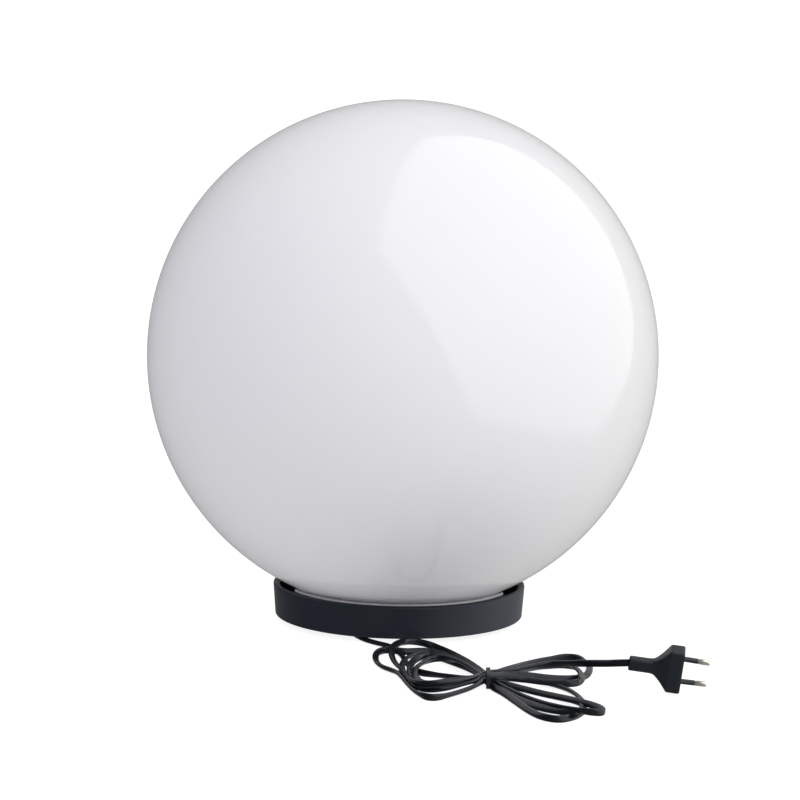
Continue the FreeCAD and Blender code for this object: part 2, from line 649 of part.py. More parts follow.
def make_bulb_insulator():
    """Dark glass insulator between the cap and its centre contact."""
    return revolve(((3.6, 52.6), (4.8, 52.4), (8.5, 53.6), (8.5, 54.4), (3.6, 53.9)))


def make_bulb_contact():
    """Centre contact button of the bulb."""
    return revolve(((0.0, BULB_TIP_Z), (2.0, BULB_TIP_Z + 0.15, 3.6, 52.6), (3.6, 54.2), (0.0, 54.2)))


def make_bulb_housing():
    """White moulded collar of the bulb, widening from the cap to the diffuser, hollow inside."""
    return revolve((
        (BULB_CAP_R + 0.8, CAP_TOP_Z), (17.0, 84.0, 21.5, 92.0), (26.0, 101.0, 28.2, BOARD_Z),
        (28.2, COLLAR_TOP_Z), (BOARD_R + 0.1, COLLAR_TOP_Z), (BOARD_R + 0.1, BOARD_Z),
        (24.0, 101.5, 19.6, 93.0), (15.0, 85.0, CAP_INNER_R, CAP_TOP_Z + 1.5), (CAP_INNER_R, CAP_TOP_Z),
    ))


def make_bulb_diffuser():
    """Frosted dome of the bulb."""
    drop = BULB_BALL_Z - DIFFUSER_Z
    inner = BULB_BALL_R - DIFFUSER_WALL
    lip_r, inner_r = sqrt(BULB_BALL_R ** 2 - drop ** 2), sqrt(inner ** 2 - drop ** 2)
    return revolve((
        (lip_r, DIFFUSER_Z), (BULB_BALL_R, BULB_BALL_Z, 0.0, BULB_BALL_Z + BULB_BALL_R),
        (0.0, BULB_BALL_Z + inner), (inner, BULB_BALL_Z, inner_r, DIFFUSER_Z),
    ))


def make_bulb_led_board():
    """Round aluminium board with a ring of light-emitting chips, set in the collar's mouth."""
    chips = [block(at(a, CHIP_CIRCLE_R), (3.0, 3.0, 0.8), BOARD_TOP_Z) for a in range(0, 360, 45)]
    return fuse([cylinder(BOARD_R, BOARD_Z, BOARD_TOP_Z)] + chips)


# ---- hank and plug ----
def fan(outline):
    """One fan of loops as a level slab with rounded plan corners."""
    points = [Vector(x, y, 0.0) for x, y in outline]
    curve = Part.BSplineCurve()
    curve.interpolate(points)
    wire = Part.Wire([curve.toShape(), Part.LineSegment(points[-1], points[0]).toShape()])
    return Part.Face(wire).extrude(Vector(0, 0, HANK_HEIGHT))


def make_cord_hank():
    """Outer shape of the tied hank: two fans of loops that meet in a narrow waist."""
    waist = block(WAIST, (2 * WAIST_HALF[0] + 6, 2 * WAIST_HALF[1], HANK_HEIGHT - TIE_WALL), TIE_WALL)
    room = block(WAIST, (2 * WAIST_HALF[0], 40.0, 40.0), -20.0)
    return fuse([fan(HANK_LEFT).cut(room), fan(HANK_RIGHT).cut(room), waist])


def make_cord_tie():
    """Flat plastic tie around the waist, with its short twisted end on top."""
    inner = (3.2, 2 * WAIST_HALF[1] + 0.1, HANK_HEIGHT - TIE_WALL + 0.05)
    outer = (3.2, inner[1] + 2 * TIE_WALL, inner[2] + 2 * TIE_WALL - 0.05)
    band = block(WAIST, outer, 0.0)
    vertical = [e for e in band.Edges if e.BoundBox.XLength > 3]
    band = band.makeFillet(1.6, vertical)
    band = band.cut(block(WAIST, (5.0, inner[1], inner[2]), TIE_WALL - 0.03))
    tail = Part.makeBox(2.4, 9.0, 1.4, Vector(WAIST[0] - 1.2, WAIST[1] - 12.0, outer[2] - 0.2))
    return fuse([band, tail])


def plug_place():
    """Placement of the plug: pins along its own +X, broad side across its own Y, narrow side up."""
    turn = Rotation(Z_AXIS, PLUG_YAW).multiply(Rotation(Vector(0, 1, 0), PLUG_PITCH))
    turn = turn.multiply(Rotation(Vector(1, 0, 0), PLUG_LEAN))
    lowest = 0.0
    for x in (0.0, -PLUG_HEAD):
        for y in (-1, 1):
            corner = turn.multVec(Vector(x, y * PLUG_THICKNESS / 2, -PLUG_WIDTH / 2))
            lowest = min(lowest, corner.z)
    return FreeCAD.Placement(Vector(PLUG_FACE[0], PLUG_FACE[1], -lowest + 0.05), turn)


def placed(shape):
    """Copy of a plug piece moved from its own frame to where the plug lies."""
    copy = shape.copy()
    copy.Placement = plug_place().multiply(copy.Placement)
    return copy


def make_plug_body():
    """Flat two-pin plug body: broad head, sloped shoulders and a narrow neck that tapers in thickness."""
    half = PLUG_WIDTH / 2
    neck, waist = PLUG_NECK_HALF, PLUG_NECK_WAIST
    side = ((0, half), (-PLUG_HEAD, half), (-PLUG_SHOULDER, waist), (-PLUG_LENGTH, neck),
            (-PLUG_LENGTH, -neck), (-PLUG_SHOULDER, -waist), (-PLUG_HEAD, -half), (0, -half))
    flat = Part.Face(Part.makePolygon([Vector(x, -20, z) for x, z in side + side[:1]])).extrude(Vector(0, 40, 0))
    corners = [e for e in flat.Edges if e.BoundBox.YLength > 39 and e.BoundBox.XMax < -1]
    flat = flat.makeFillet(2.0, corners)
    thick = PLUG_THICKNESS / 2
    broad, thin = PLUG_NECK_THICK
    plan = ((0, thick), (-PLUG_HEAD, thick), (-PLUG_SHOULDER, broad), (-PLUG_LENGTH, thin),
            (-PLUG_LENGTH, -thin), (-PLUG_SHOULDER, -broad), (-PLUG_HEAD, -thick), (0, -thick))
    top = Part.Face(Part.makePolygon([Vector(x, y, -30) for x, y in plan + plan[:1]])).extrude(Vector(0, 0, 60))
    body = flat.common(top)
    face_edges = [e for e in body.Edges if e.BoundBox.XMin > -0.01]
    body = body.makeFillet(0.8, face_edges)
    for pin in (-1, 1):
        body = body.cut(pin_cylinder(pin, PIN_SHANK_R + 0.02, -PIN_ROOT, 1.0))
    return placed(body)


def pin_cylinder(side, radius, start, end):
    """Cylinder along one pin's slightly converging axis, in the plug's own frame."""
    lean = radians(PIN_TOE_IN)
    along = Vector(cos(lean), 0, -side * sin(lean))
    base = Vector(0, 0, side * PIN_HALF_SPACING) + along * start
    return Part.makeCylinder(radius, end - start, base, along)


def make_plug_pins():
    """Two nickel-plated pins: a thin shank inside the sleeve and a full-size rounded tip."""
    pins = []
    for side in (-1, 1):
        tip = pin_cylinder(side, PIN_R, SLEEVE_LENGTH, PIN_LENGTH)
        end = [e for e in tip.Edges if e.BoundBox.XMin > PIN_LENGTH - 0.6]
        tip = tip.makeFillet(1.2, end)
        shank = pin_cylinder(side, PIN_SHANK_R, 0.1 - PIN_ROOT, SLEEVE_LENGTH)
        pins.append(placed(fuse([shank, tip])))
    return pins


def make_pin_sleeves():
    """Two insulating sleeves on the pins' shanks."""
    sleeves = []
    for side in (-1, 1):
        outside = pin_cylinder(side, PIN_R - 0.02, 0.05, SLEEVE_LENGTH - 0.02)
        sleeves.append(placed(outside.cut(pin_cylinder(side, PIN_SHANK_R, -1.0, SLEEVE_LENGTH + 2))))
    return sleeves


def make_cord_lead_out():
    """Cord from the strain relief, under the base's rim, to the hank."""
    return flat_cord(LEAD_OUT_ROUTE, False, "cord_lead_out")


def make_cord_lead_plug():
    """Cord from the hank up to the plug's neck, its wide side upright."""
    place = plug_place()
    back = place.multVec(Vector(-PLUG_LENGTH, 0, 0))
    print("plug cord end", tuple(round(v, 2) for v in back))
    return flat_cord(LEAD_PLUG_ROUTE + (tuple(back),), True, "cord_lead_plug")


NODES = {
    "globe": make_globe,
    "neck_gasket": make_neck_gasket,
    "base_housing": make_base_housing,
    "base_plate": make_base_plate,
    "plate_screws": make_plate_screws,
    "rubber_feet": make_rubber_feet,
    "cord_grommet": make_cord_grommet,
    "cord_inner": make_cord_inner,
    "clamp_saddle": make_clamp_saddle,
    "cord_clamp": make_cord_clamp,
    "clamp_screws": make_clamp_screws,
    "terminal_block": make_terminal_block,
    "terminal_screws": make_terminal_screws,
    "live_wire": lambda: make_wire(-1),
    "neutral_wire": lambda: make_wire(1),
    "holder_bracket": make_holder_bracket,
    "bracket_screws": make_bracket_screws,
    "holder_nipple": make_nipple,
    "nipple_nut": make_nipple_nut,
    "holder_body": make_holder_body,
    "holder_shell": make_holder_shell,
    "centre_contact": make_centre_contact,
    "side_contact": make_side_contact,
    "bulb_cap": make_bulb_cap,
    "bulb_insulator": make_bulb_insulator,
    "bulb_contact": make_bulb_contact,
    "bulb_housing": make_bulb_housing,
    "bulb_led_board": make_bulb_led_board,
    "bulb_diffuser": make_bulb_diffuser,
    "cord_lead_out": make_cord_lead_out,
    "cord_hank": make_cord_hank,
    "cord_tie": make_cord_tie,
    "cord_lead_plug": make_cord_lead_plug,
    "plug_body": make_plug_body,
    "plug_pins": make_plug_pins,
    "pin_sleeves": make_pin_sleeves,
}

os.makedirs("parts", exist_ok=True)
for name, make in NODES.items():
    made = make()
    shape = Part.makeCompound(made) if isinstance(made, list) else made
    shape.exportStep(f"parts/{name}.step")
    box = shape.BoundBox
    print(name, len(shape.Solids), shape.isValid(), round(shape.Volume),
          [round(v, 1) for v in (box.XMin, box.YMin, box.ZMin, box.XMax, box.YMax, box.ZMax)])
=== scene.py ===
"""Garden globe light: opal globe on a low black base, with a tied flat cord and a two-pin plug.

Blender works in metres. The pieces' sizes below are millimetres in the part's own frame, and MM scales them.
"""
from math import radians

import bmesh
import bpy
import numpy as np
from mathutils import Matrix, Vector


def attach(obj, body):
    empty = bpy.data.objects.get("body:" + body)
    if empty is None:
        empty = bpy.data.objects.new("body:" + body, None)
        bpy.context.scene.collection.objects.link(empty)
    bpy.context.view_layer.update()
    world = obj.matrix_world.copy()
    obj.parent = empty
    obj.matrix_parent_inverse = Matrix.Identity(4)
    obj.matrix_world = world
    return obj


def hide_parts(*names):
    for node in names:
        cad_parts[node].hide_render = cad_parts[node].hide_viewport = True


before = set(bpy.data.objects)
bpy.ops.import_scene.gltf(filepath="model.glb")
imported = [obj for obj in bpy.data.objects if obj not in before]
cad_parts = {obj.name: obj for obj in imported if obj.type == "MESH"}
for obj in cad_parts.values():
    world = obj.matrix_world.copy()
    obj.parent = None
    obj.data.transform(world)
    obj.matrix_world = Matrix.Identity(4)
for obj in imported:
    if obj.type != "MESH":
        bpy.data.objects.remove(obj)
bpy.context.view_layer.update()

MM = 0.001
SAME_POINT = 1e-7               # metres: points closer than this are merged
FLOOR_GAP = 0.05                # millimetres between the floor and the lowest point of the cord or plug

# ---- sizes shared with the solids ----
GLOBE_R, GLOBE_WALL, GLOBE_Z = 200.0, 2.5, 209.7
GLOBE_RIM_Z, NECK_R, NECK_BOTTOM_Z = 29.3, 79.7, 21.5
LUG_AZIMUTHS, LUG_R, LUG_LOW, LUG_HIGH, LUG_HALF = (30.0, 210.0), 91.0, 21.9, 24.5, 20.0
SEAL_INNER_R, SEAL_OUTER_R, SEAL_TOP_Z, SEAL_HALF = 80.8, 90.0, 29.0, 64.5
SEAL_STOP = (3.0, 1.6, 0.8)     # raised block at each end of a seal half: width, depth, height above the seal
BASE_TOP_Z, FLANGE_TOP_Z, FLANGE_UNDER_Z, BASE_RIM_Z = 29.6, 27.8, 24.8, 4.0
BASE_TOP_R, BASE_RIM_R, BASE_EDGE_R, LIP_INNER_R = 99.2, 97.5, 2.0, 96.0
SKIRT_INNER_TOP_R, SKIRT_INNER_RIM_R = 94.8, 94.2
FLANGE_HOLE_R, SLOT_R, SLOT_HALF = 80.5, 94.0, 23.0
SLOT_AZIMUTHS = (90.0, 270.0)
CORD_WIDTH, CORD_THICKNESS = 5.4, 3.3
WAIST = np.array([66.0, -234.0])    # middle of the tie, in plan
PLUG_FACE, PLUG_YAW, PLUG_PITCH, PLUG_LEAN = (205.5, -251.5), -3.0, 6.5, 17.0
PLUG_WIDTH, PLUG_THICKNESS, PLUG_HEAD, PLUG_LENGTH = 34.0, 14.0, 10.5, 39.0
PIN_R, PIN_LENGTH, PIN_HALF_SPACING, PIN_TOE_IN = 2.0, 19.0, 9.3, 1.5
SLEEVE_LENGTH = 10.0


# ---- helpers: colours, nodes, meshes ----
def colour(code):
    """Linear RGBA of an sRGB hex code such as "1f242a"."""
    channels = np.array([int(code[i:i + 2], 16) for i in (0, 2, 4)]) / 255.0
    linear = np.where(channels <= 0.04045, channels / 12.92, ((channels + 0.055) / 1.055) ** 2.4)
    return (*linear.tolist(), 1.0)


def node(tree, kind, settings=None, links=None):
    """Adds one node. settings: attribute or socket values; links: this node's input -> another node's output.

    Sockets that share a name go by number. Map Range: 0 value, 1 and 2 from, 3 and 4 to. Mix of floats: 0 factor,
    2 and 3 the two values. Mix of colours: 0 factor, 6 and 7 the two colours.
    """
    new = tree.nodes.new(kind)
    for key, value in (settings or {}).items():
        if isinstance(key, str) and hasattr(new, key):
            setattr(new, key, value)
        else:
            new.inputs[key].default_value = value
    for key, source in (links or {}).items():
        tree.links.new(source, new.inputs[key])
    return new


def material(name):
    """New node material, its tree and its Principled shader."""
    made = bpy.data.materials.new(name)
    made.use_nodes = True
    return made, made.node_tree, made.node_tree.nodes["Principled BSDF"]


def object_place(tree):
    """Object coordinates, so that a texture stays with its piece."""
    return node(tree, "ShaderNodeTexCoord").outputs["Object"]


def mesh_piece(name, points, faces, finish, smooth_angle=40.0):
    """Object from points in millimetres and face index lists, smooth except across sharp edges."""
    mesh = bpy.data.meshes.new(name)
    mesh.from_pydata((np.asarray(points, float) * MM).tolist(), [], [list(map(int, f)) for f in faces])
    work = bmesh.new()
    work.from_mesh(mesh)
    bmesh.ops.remove_doubles(work, verts=work.verts, dist=SAME_POINT)
    bmesh.ops.recalc_face_normals(work, faces=work.faces)
    work.to_mesh(mesh)
    work.free()
    mesh.polygons.foreach_set("use_smooth", np.ones(len(mesh.polygons), bool))
    mesh.set_sharp_from_angle(angle=radians(smooth_angle))
    mesh.materials.append(finish)
    piece = bpy.data.objects.new(name, mesh)
    bpy.context.scene.collection.objects.link(piece)
    return piece


def grid_faces(rows, columns, wrap_rows=False, wrap_columns=False):
    """Quads of a grid of points stored row by row; a wrapped direction joins its last line to its first."""
    r = np.arange(rows if wrap_rows else rows - 1)[:, None]
    c = np.arange(columns if wrap_columns else columns - 1)[None, :]
    r2, c2 = (r + 1) % rows, (c + 1) % columns
    quads = np.broadcast_arrays(r * columns + c, r * columns + c2, r2 * columns + c2, r2 * columns + c)
    return np.stack(quads, -1).reshape(-1, 4).tolist()


def tube_faces(rows, columns):
    """Quads of a tube of closed rings, with one face across each end."""
    last = (rows - 1) * columns
    ends = [list(range(columns))[::-1], [last + i for i in range(columns)]]
    return grid_faces(rows, columns, wrap_columns=True) + ends


def join_parts(parts):
    """Points and faces of several (points, faces) pairs as one pair."""
    points, faces, start = [], [], 0
    for part_points, part_faces in parts:
        points.append(part_points)
        faces += [[index + start for index in face] for face in part_faces]
        start += len(part_points)
    return np.concatenate(points), faces


def lathe(profile, azimuths, closed=True):
    """Profile of (radius, height) turned about Z: point = (r sin a, -r cos a, z), a counted from the front.

    The profile may have one radius and height for each azimuth (shape: azimuths x profile x 2).
    """
    a = np.radians(azimuths)[:, None]
    profile = np.asarray(profile, float)
    if profile.ndim == 2:
        profile = np.broadcast_to(profile, (len(azimuths), *profile.shape))
    r, z = profile[..., 0], profile[..., 1]
    points = np.stack([r * np.sin(a), -r * np.cos(a), z + 0 * a], -1).reshape(-1, 3)
    return points, grid_faces(len(azimuths), profile.shape[1], True, closed)


def arc(centre, radius, start, end, count):
    """Points on a circle in the (radius, height) plane between two angles in degrees."""
    t = np.radians(np.linspace(start, end, count))
    return np.stack([centre[0] + radius * np.cos(t), centre[1] + radius * np.sin(t)], -1)


def soft_line(points, step):
    """Straight runs between the points, divided so that no piece is longer than the step."""
    points = np.asarray(points, float)
    out = [points[:1]]
    for start, end in zip(points[:-1], points[1:]):
        count = max(1, int(np.ceil(np.linalg.norm(end - start) / step)))
        out.append(start + (end - start) * (np.arange(1, count + 1) / count)[:, None])
    return np.concatenate(out)


# ---- camera, floor and light ----
CAMERA_AT = (0.0, -2.77429, 0.588266)           # metres: 2.8 m from the globe's centre
CAMERA_RISE, CAMERA_ROLL = radians(7.7703), radians(0.94)
LENS, SENSOR_WIDTH = 160.87, 36.0
FOCAL_PIXELS = 3574.845         # the lens in pixels of a picture 800 pixels wide
AIM_RIGHT, AIM_UP = -2.05, -44.53               # pixels from the globe's centre to the middle of the picture


def set_camera():
    """Camera 2.8 m from the globe and 7.8 degrees above its centre, with a slight roll as in the photograph."""
    data = bpy.data.cameras.new("camera")
    data.sensor_width, data.lens = SENSOR_WIDTH, LENS
    data.clip_end = 100.0
    ahead = np.array([0.0, np.cos(CAMERA_RISE), -np.sin(CAMERA_RISE)])
    above = np.array([0.0, np.sin(CAMERA_RISE), np.cos(CAMERA_RISE)])
    to_right = np.array([1.0, 0.0, 0.0])
    forward = ahead + to_right * (AIM_RIGHT / FOCAL_PIXELS) + above * (AIM_UP / FOCAL_PIXELS)
    forward /= np.linalg.norm(forward)
    right = np.cross(forward, [0, 0, 1.0])
    right /= np.linalg.norm(right)
    up = np.cross(right, forward)
    right = right * np.cos(CAMERA_ROLL) + up * np.sin(CAMERA_ROLL)
    up = np.cross(right, forward)
    camera = bpy.data.objects.new("camera", data)
    bpy.context.scene.collection.objects.link(camera)
    camera.matrix_world = Matrix.Translation(CAMERA_AT) @ Matrix((right, up, -forward)).transposed().to_4x4()
    bpy.context.scene.camera = camera


def ray_kinds(tree):
    """Two values, each 0 or 1: the ray comes from the camera or through glass; the ray is a reflection."""
    path = node(tree, "ShaderNodeLightPath")
    seen = node(tree, "ShaderNodeMath", {"operation": "MAXIMUM"},
                {0: path.outputs["Is Camera Ray"], 1: path.outputs["Is Transmission Ray"]})
    return seen.outputs[0], path.outputs["Is Glossy Ray"]


FLOOR_HALF = 30.0                               # metres, so that no edge is seen
BOUNCE_GLOW, SEEN_GLOW = 0.46, 0.88             # the floor's own light, for diffuse rays and for the eye


def set_floor():
    """Pale floor: a matt surface that takes the shadow, plus an even glow that brings the rest to white.

    The glow is weaker as bounce light. Reflections show the studio instead of the floor.
    """
    mesh = bpy.data.meshes.new("floor")
    corners = [(x * FLOOR_HALF, y * FLOOR_HALF, 0) for x, y in ((-1, -1), (1, -1), (1, 1), (-1, 1))]
    mesh.from_pydata(corners, [], [(0, 1, 2, 3)])
    floor = bpy.data.objects.new("floor", mesh)
    bpy.context.scene.collection.objects.link(floor)
    made, tree, shader = material("pale_floor")
    tree.nodes.remove(shader)
    seen, _ = ray_kinds(tree)
    glow = node(tree, "ShaderNodeMapRange", {3: BOUNCE_GLOW, 4: SEEN_GLOW}, {0: seen})
    matt = node(tree, "ShaderNodeBsdfDiffuse", {"Color": colour("989898")})
    light = node(tree, "ShaderNodeEmission", {"Color": (1, 1, 1, 1)}, {"Strength": glow.outputs[0]})
    both = node(tree, "ShaderNodeAddShader", {}, {0: matt.outputs[0], 1: light.outputs[0]})
    tree.links.new(both.outputs[0], tree.nodes["Material Output"].inputs["Surface"])
    mesh.materials.append(made)
    floor.visible_glossy = False


# Corners of the studio soft box as directions from the object; only glossy surfaces show it.
SOFT_BOX = ((0.079, 0.523, 0.849), (-0.188, -0.559, 0.807), (0.5, -0.809, -0.309), (0.86, 0.38, -0.34),
            (0.819, 0.571, -0.045), (0.534, 0.795, 0.288))
SOFT_BOX_LEVEL, SOFT_BOX_BLUR = 1.45, 0.012     # brightness, and half the width of its soft edge
LEFT_WALL, RIGHT_WALL = 0.08, 0.62              # brightness of the room in reflections
DIFFUSE_LEVEL, SEEN_LEVEL = 0.80, 1.0


def set_world():
    """White to the eye, one grey for diffuse light, and for gloss a room with one large soft box.

    The box is where a direction lies on the inner side of every plane through the object and two next corners.
    """
    world = bpy.data.worlds.new("studio")
    world.use_nodes = True
    tree = world.node_tree
    seen, glossy = ray_kinds(tree)
    ray = node(tree, "ShaderNodeTexCoord").outputs["Generated"]
    inside = node(tree, "ShaderNodeValue")
    inside.outputs[0].default_value = 1.0
    corners = [Vector(c) for c in SOFT_BOX]
    for first, second in zip(corners, corners[1:] + corners[:1]):
        side = first.cross(second).normalized()
        dot = node(tree, "ShaderNodeVectorMath", {"operation": "DOT_PRODUCT", 1: side}, {0: ray})
        edge = node(tree, "ShaderNodeMapRange", {1: -SOFT_BOX_BLUR, 2: SOFT_BOX_BLUR}, {0: dot.outputs["Value"]})
        inside = node(tree, "ShaderNodeMath", {"operation": "MULTIPLY"}, {0: inside.outputs[0], 1: edge.outputs[0]})
    to_right = node(tree, "ShaderNodeSeparateXYZ", {}, {0: ray}).outputs["X"]
    walls = node(tree, "ShaderNodeMapRange", {1: -1.0, 2: 1.0, 3: LEFT_WALL, 4: RIGHT_WALL}, {0: to_right})
    room = node(tree, "ShaderNodeMix", {"data_type": "FLOAT", 3: SOFT_BOX_LEVEL},
                {0: inside.outputs[0], 2: walls.outputs[0]})
    unseen = node(tree, "ShaderNodeMix", {"data_type": "FLOAT", 2: DIFFUSE_LEVEL}, {0: glossy, 3: room.outputs[0]})
    level = node(tree, "ShaderNodeMix", {"data_type": "FLOAT", 3: SEEN_LEVEL}, {0: seen, 2: unseen.outputs[0]})
    background = tree.nodes["Background"]
    background.inputs["Color"].default_value = (1, 1, 1, 1)
    tree.links.new(level.outputs[0], background.inputs["Strength"])
    bpy.context.scene.world = world


# Lamps: name, direction from the object, strength, width in degrees, colour.
LAMPS = (("key", (0.62, -0.42, 0.66), 1.15, 50.0, "ffffff"), ("fill", (-0.6, -0.7, 0.4), 0.24, 60.0, "c3aeff"))


def set_lamps():
    """One broad key from the upper right and a weak violet one from the front left."""
    for name, direction, strength, width, tint in LAMPS:
        data = bpy.data.lights.new(name, "SUN")
        data.color = colour(tint)[:3]
        data.energy, data.angle = strength, radians(width)
        lamp = bpy.data.objects.new(name, data)
        lamp.rotation_euler = Vector(direction).to_track_quat("Z", "Y").to_euler()
        lamp.visible_glossy = False
        bpy.context.scene.collection.objects.link(lamp)


# ---- finishes ----
def opal_acrylic():
    """Moulded opal PMMA: a milky body that softens shadows over some millimetres, under a hard and very smooth skin.

    Its flow in the mould leaves a faint waviness in the gloss.
    """
    made, tree, shader = material("opal_acrylic")
    for key, value in (("Base Color", colour("f1f0f2")), ("Subsurface Weight", 0.6), ("Subsurface Radius", (1, 1, 1)),
                       ("Subsurface Scale", 0.006), ("Roughness", 0.07), ("IOR", 1.49)):
        shader.inputs[key].default_value = value
    waves = node(tree, "ShaderNodeTexNoise", {"Scale": 14.0, "Detail": 2.0}, {"Vector": object_place(tree)})
    bump = node(tree, "ShaderNodeBump", {"Strength": 0.03, "Distance": 0.0004}, {"Height": waves.outputs[0]})
    tree.links.new(bump.outputs[0], shader.inputs["Normal"])
    return made


def moulded_black():
    """Black ABS from a spark-eroded mould: dark charcoal, satin, with tiny pits about 0.6 mm apart."""
    made, tree, shader = material("moulded_black")
    place = object_place(tree)
    patches = node(tree, "ShaderNodeTexNoise", {"Scale": 22.0, "Detail": 3.0}, {"Vector": place})
    tone = node(tree, "ShaderNodeMix", {"data_type": "RGBA", 6: colour("1b2027"), 7: colour("222830")},
                {0: patches.outputs[0]})
    tree.links.new(tone.outputs[2], shader.inputs["Base Color"])
    grain = node(tree, "ShaderNodeTexNoise", {"Scale": 1500.0, "Detail": 2.0}, {"Vector": place})
    shader.inputs["Specular Tint"].default_value = colour("b4b4b4")
    gloss = node(tree, "ShaderNodeMapRange", {3: 0.34, 4: 0.48}, {0: grain.outputs[0]})
    tree.links.new(gloss.outputs[0], shader.inputs["Roughness"])
    bump = node(tree, "ShaderNodeBump", {"Strength": 0.25, "Distance": 0.00012}, {"Height": grain.outputs[0]})
    tree.links.new(bump.outputs[0], shader.inputs["Normal"])
    return made


ROUGHNESS_SPREAD, GRAIN = 0.05, 8


def plain_finish(name, dark, light, roughness, scale, bump_depth, metallic=0.0, ior=None, sheen="ffffff"):
    """Even finish with slight patches between two tones and a shallow grain.

    scale is in patches per metre, the grain is GRAIN times finer, and bump_depth is in metres. sheen tints the gloss.
    """
    made, tree, shader = material(name)
    place = object_place(tree)
    patches = node(tree, "ShaderNodeTexNoise", {"Scale": scale, "Detail": 3.0}, {"Vector": place})
    tone = node(tree, "ShaderNodeMix", {"data_type": "RGBA", 6: colour(dark), 7: colour(light)},
                {0: patches.outputs[0]})
    tree.links.new(tone.outputs[2], shader.inputs["Base Color"])
    gloss = node(tree, "ShaderNodeMapRange", {3: roughness - ROUGHNESS_SPREAD, 4: roughness + ROUGHNESS_SPREAD},
                 {0: patches.outputs[0]})
    tree.links.new(gloss.outputs[0], shader.inputs["Roughness"])
    grain = node(tree, "ShaderNodeTexNoise", {"Scale": scale * GRAIN, "Detail": 2.0}, {"Vector": place})
    bump = node(tree, "ShaderNodeBump", {"Strength": 0.3, "Distance": bump_depth}, {"Height": grain.outputs[0]})
    tree.links.new(bump.outputs[0], shader.inputs["Normal"])
    shader.inputs["Metallic"].default_value = metallic
    shader.inputs["Specular Tint"].default_value = colour(sheen)
    if ior:
        shader.inputs["IOR"].default_value = ior
    return made


# ---- globe ----
NECK_EDGE, LUG_EDGE, LUG_ROOT = 0.6, 0.5, 0.8   # bevel of the neck's mouth, lug's rounding, its depth in the neck
GLOBE_STEPS, SPHERE_STEPS, INSIDE_STEPS, LUG_STEPS = 240, 150, 60, 24


def globe_piece(finish):
    """Sphere r = R cos t, z = c + R sin t outside and inside, joined by a flat rim and a short neck."""
    inner, neck_inner = GLOBE_R - GLOBE_WALL, NECK_R - GLOBE_WALL
    low = -np.degrees(np.arcsin((GLOBE_Z - GLOBE_RIM_Z) / GLOBE_R))
    inner_low = -np.degrees(np.arccos(neck_inner / inner))
    centre = (0.0, GLOBE_Z)
    outside = arc(centre, GLOBE_R, 90.0, low, SPHERE_STEPS)
    inside = arc(centre, inner, inner_low, 90.0, INSIDE_STEPS)
    bevel_z = NECK_BOTTOM_Z + NECK_EDGE
    neck = np.array([(NECK_R, GLOBE_RIM_Z), (NECK_R, bevel_z), (NECK_R - NECK_EDGE, NECK_BOTTOM_Z),
                     (neck_inner + NECK_EDGE, NECK_BOTTOM_Z), (neck_inner, bevel_z)])
    profile = np.concatenate([outside, neck, inside])
    profile[0, 0] = profile[-1, 0] = 0.0
    parts = [lathe(profile, np.linspace(0, 360, GLOBE_STEPS, endpoint=False), closed=False)]
    for azimuth in LUG_AZIMUTHS:
        parts.append(ring_block(NECK_R - LUG_ROOT, LUG_R, LUG_LOW, LUG_HIGH, azimuth, LUG_HALF, LUG_STEPS, LUG_EDGE))
    return mesh_piece("globe_shell", *join_parts(parts), finish)


def ring_block(inner, outer, low, high, azimuth, half_angle, steps, edge):
    """Piece of a ring: a rounded rectangle in (radius, height) carried over a range of azimuths, with end caps."""
    loop = np.concatenate([
        arc((outer - edge, high - edge), edge, 90, 0, 4), arc((outer - edge, low + edge), edge, 0, -90, 4),
        arc((inner + edge, low + edge), edge, -90, -180, 4), arc((inner + edge, high - edge), edge, 180, 90, 4),
    ])
    azimuths = np.radians(np.linspace(azimuth - half_angle, azimuth + half_angle, steps + 1))[:, None]
    points = np.stack([loop[None, :, 0] * np.sin(azimuths), -loop[None, :, 0] * np.cos(azimuths),
                       np.broadcast_to(loop[None, :, 1], (steps + 1, len(loop)))], -1).reshape(-1, 3)
    return points, tube_faces(steps + 1, len(loop))


SEAL_EDGE, STOP_EDGE = 0.4, 0.35
SEAL_STEPS, STOP_STEPS = 60, 4
STOP_FROM_END = 1.0             # degrees from a block's middle to the seal's end


def seal_piece(finish):
    """Soft seal on the base's seat: a front and a rear half, each a rounded strip with a raised block at its ends."""
    parts = []
    wide, deep, high = SEAL_STOP
    stop_half = np.degrees(wide / 2 / SEAL_OUTER_R)
    for middle in (0.0, 180.0):
        parts.append(ring_block(SEAL_INNER_R, SEAL_OUTER_R, FLANGE_TOP_Z, SEAL_TOP_Z, middle, SEAL_HALF,
                                SEAL_STEPS, SEAL_EDGE))
        for side in (-1, 1):
            azimuth = middle + side * (SEAL_HALF - STOP_FROM_END)
            parts.append(ring_block(SEAL_OUTER_R - deep, SEAL_OUTER_R - 0.02, FLANGE_TOP_Z + 0.1, SEAL_TOP_Z + high,
                                    azimuth, stop_half, STOP_STEPS, STOP_EDGE))
    return mesh_piece("seal_halves", *join_parts(parts), finish)


# ---- base ----
RIM_EDGE, LIP_EDGE, HOLE_EDGE = 1.0, 0.4, 0.35
SLOT_END_HALF = 0.3             # degrees on either side of a slot's end over which the hole widens
SLOT_END_STEPS = (-0.5, -0.25, 0.0, 0.25, 0.5)
HOUSING_STEPS = 180


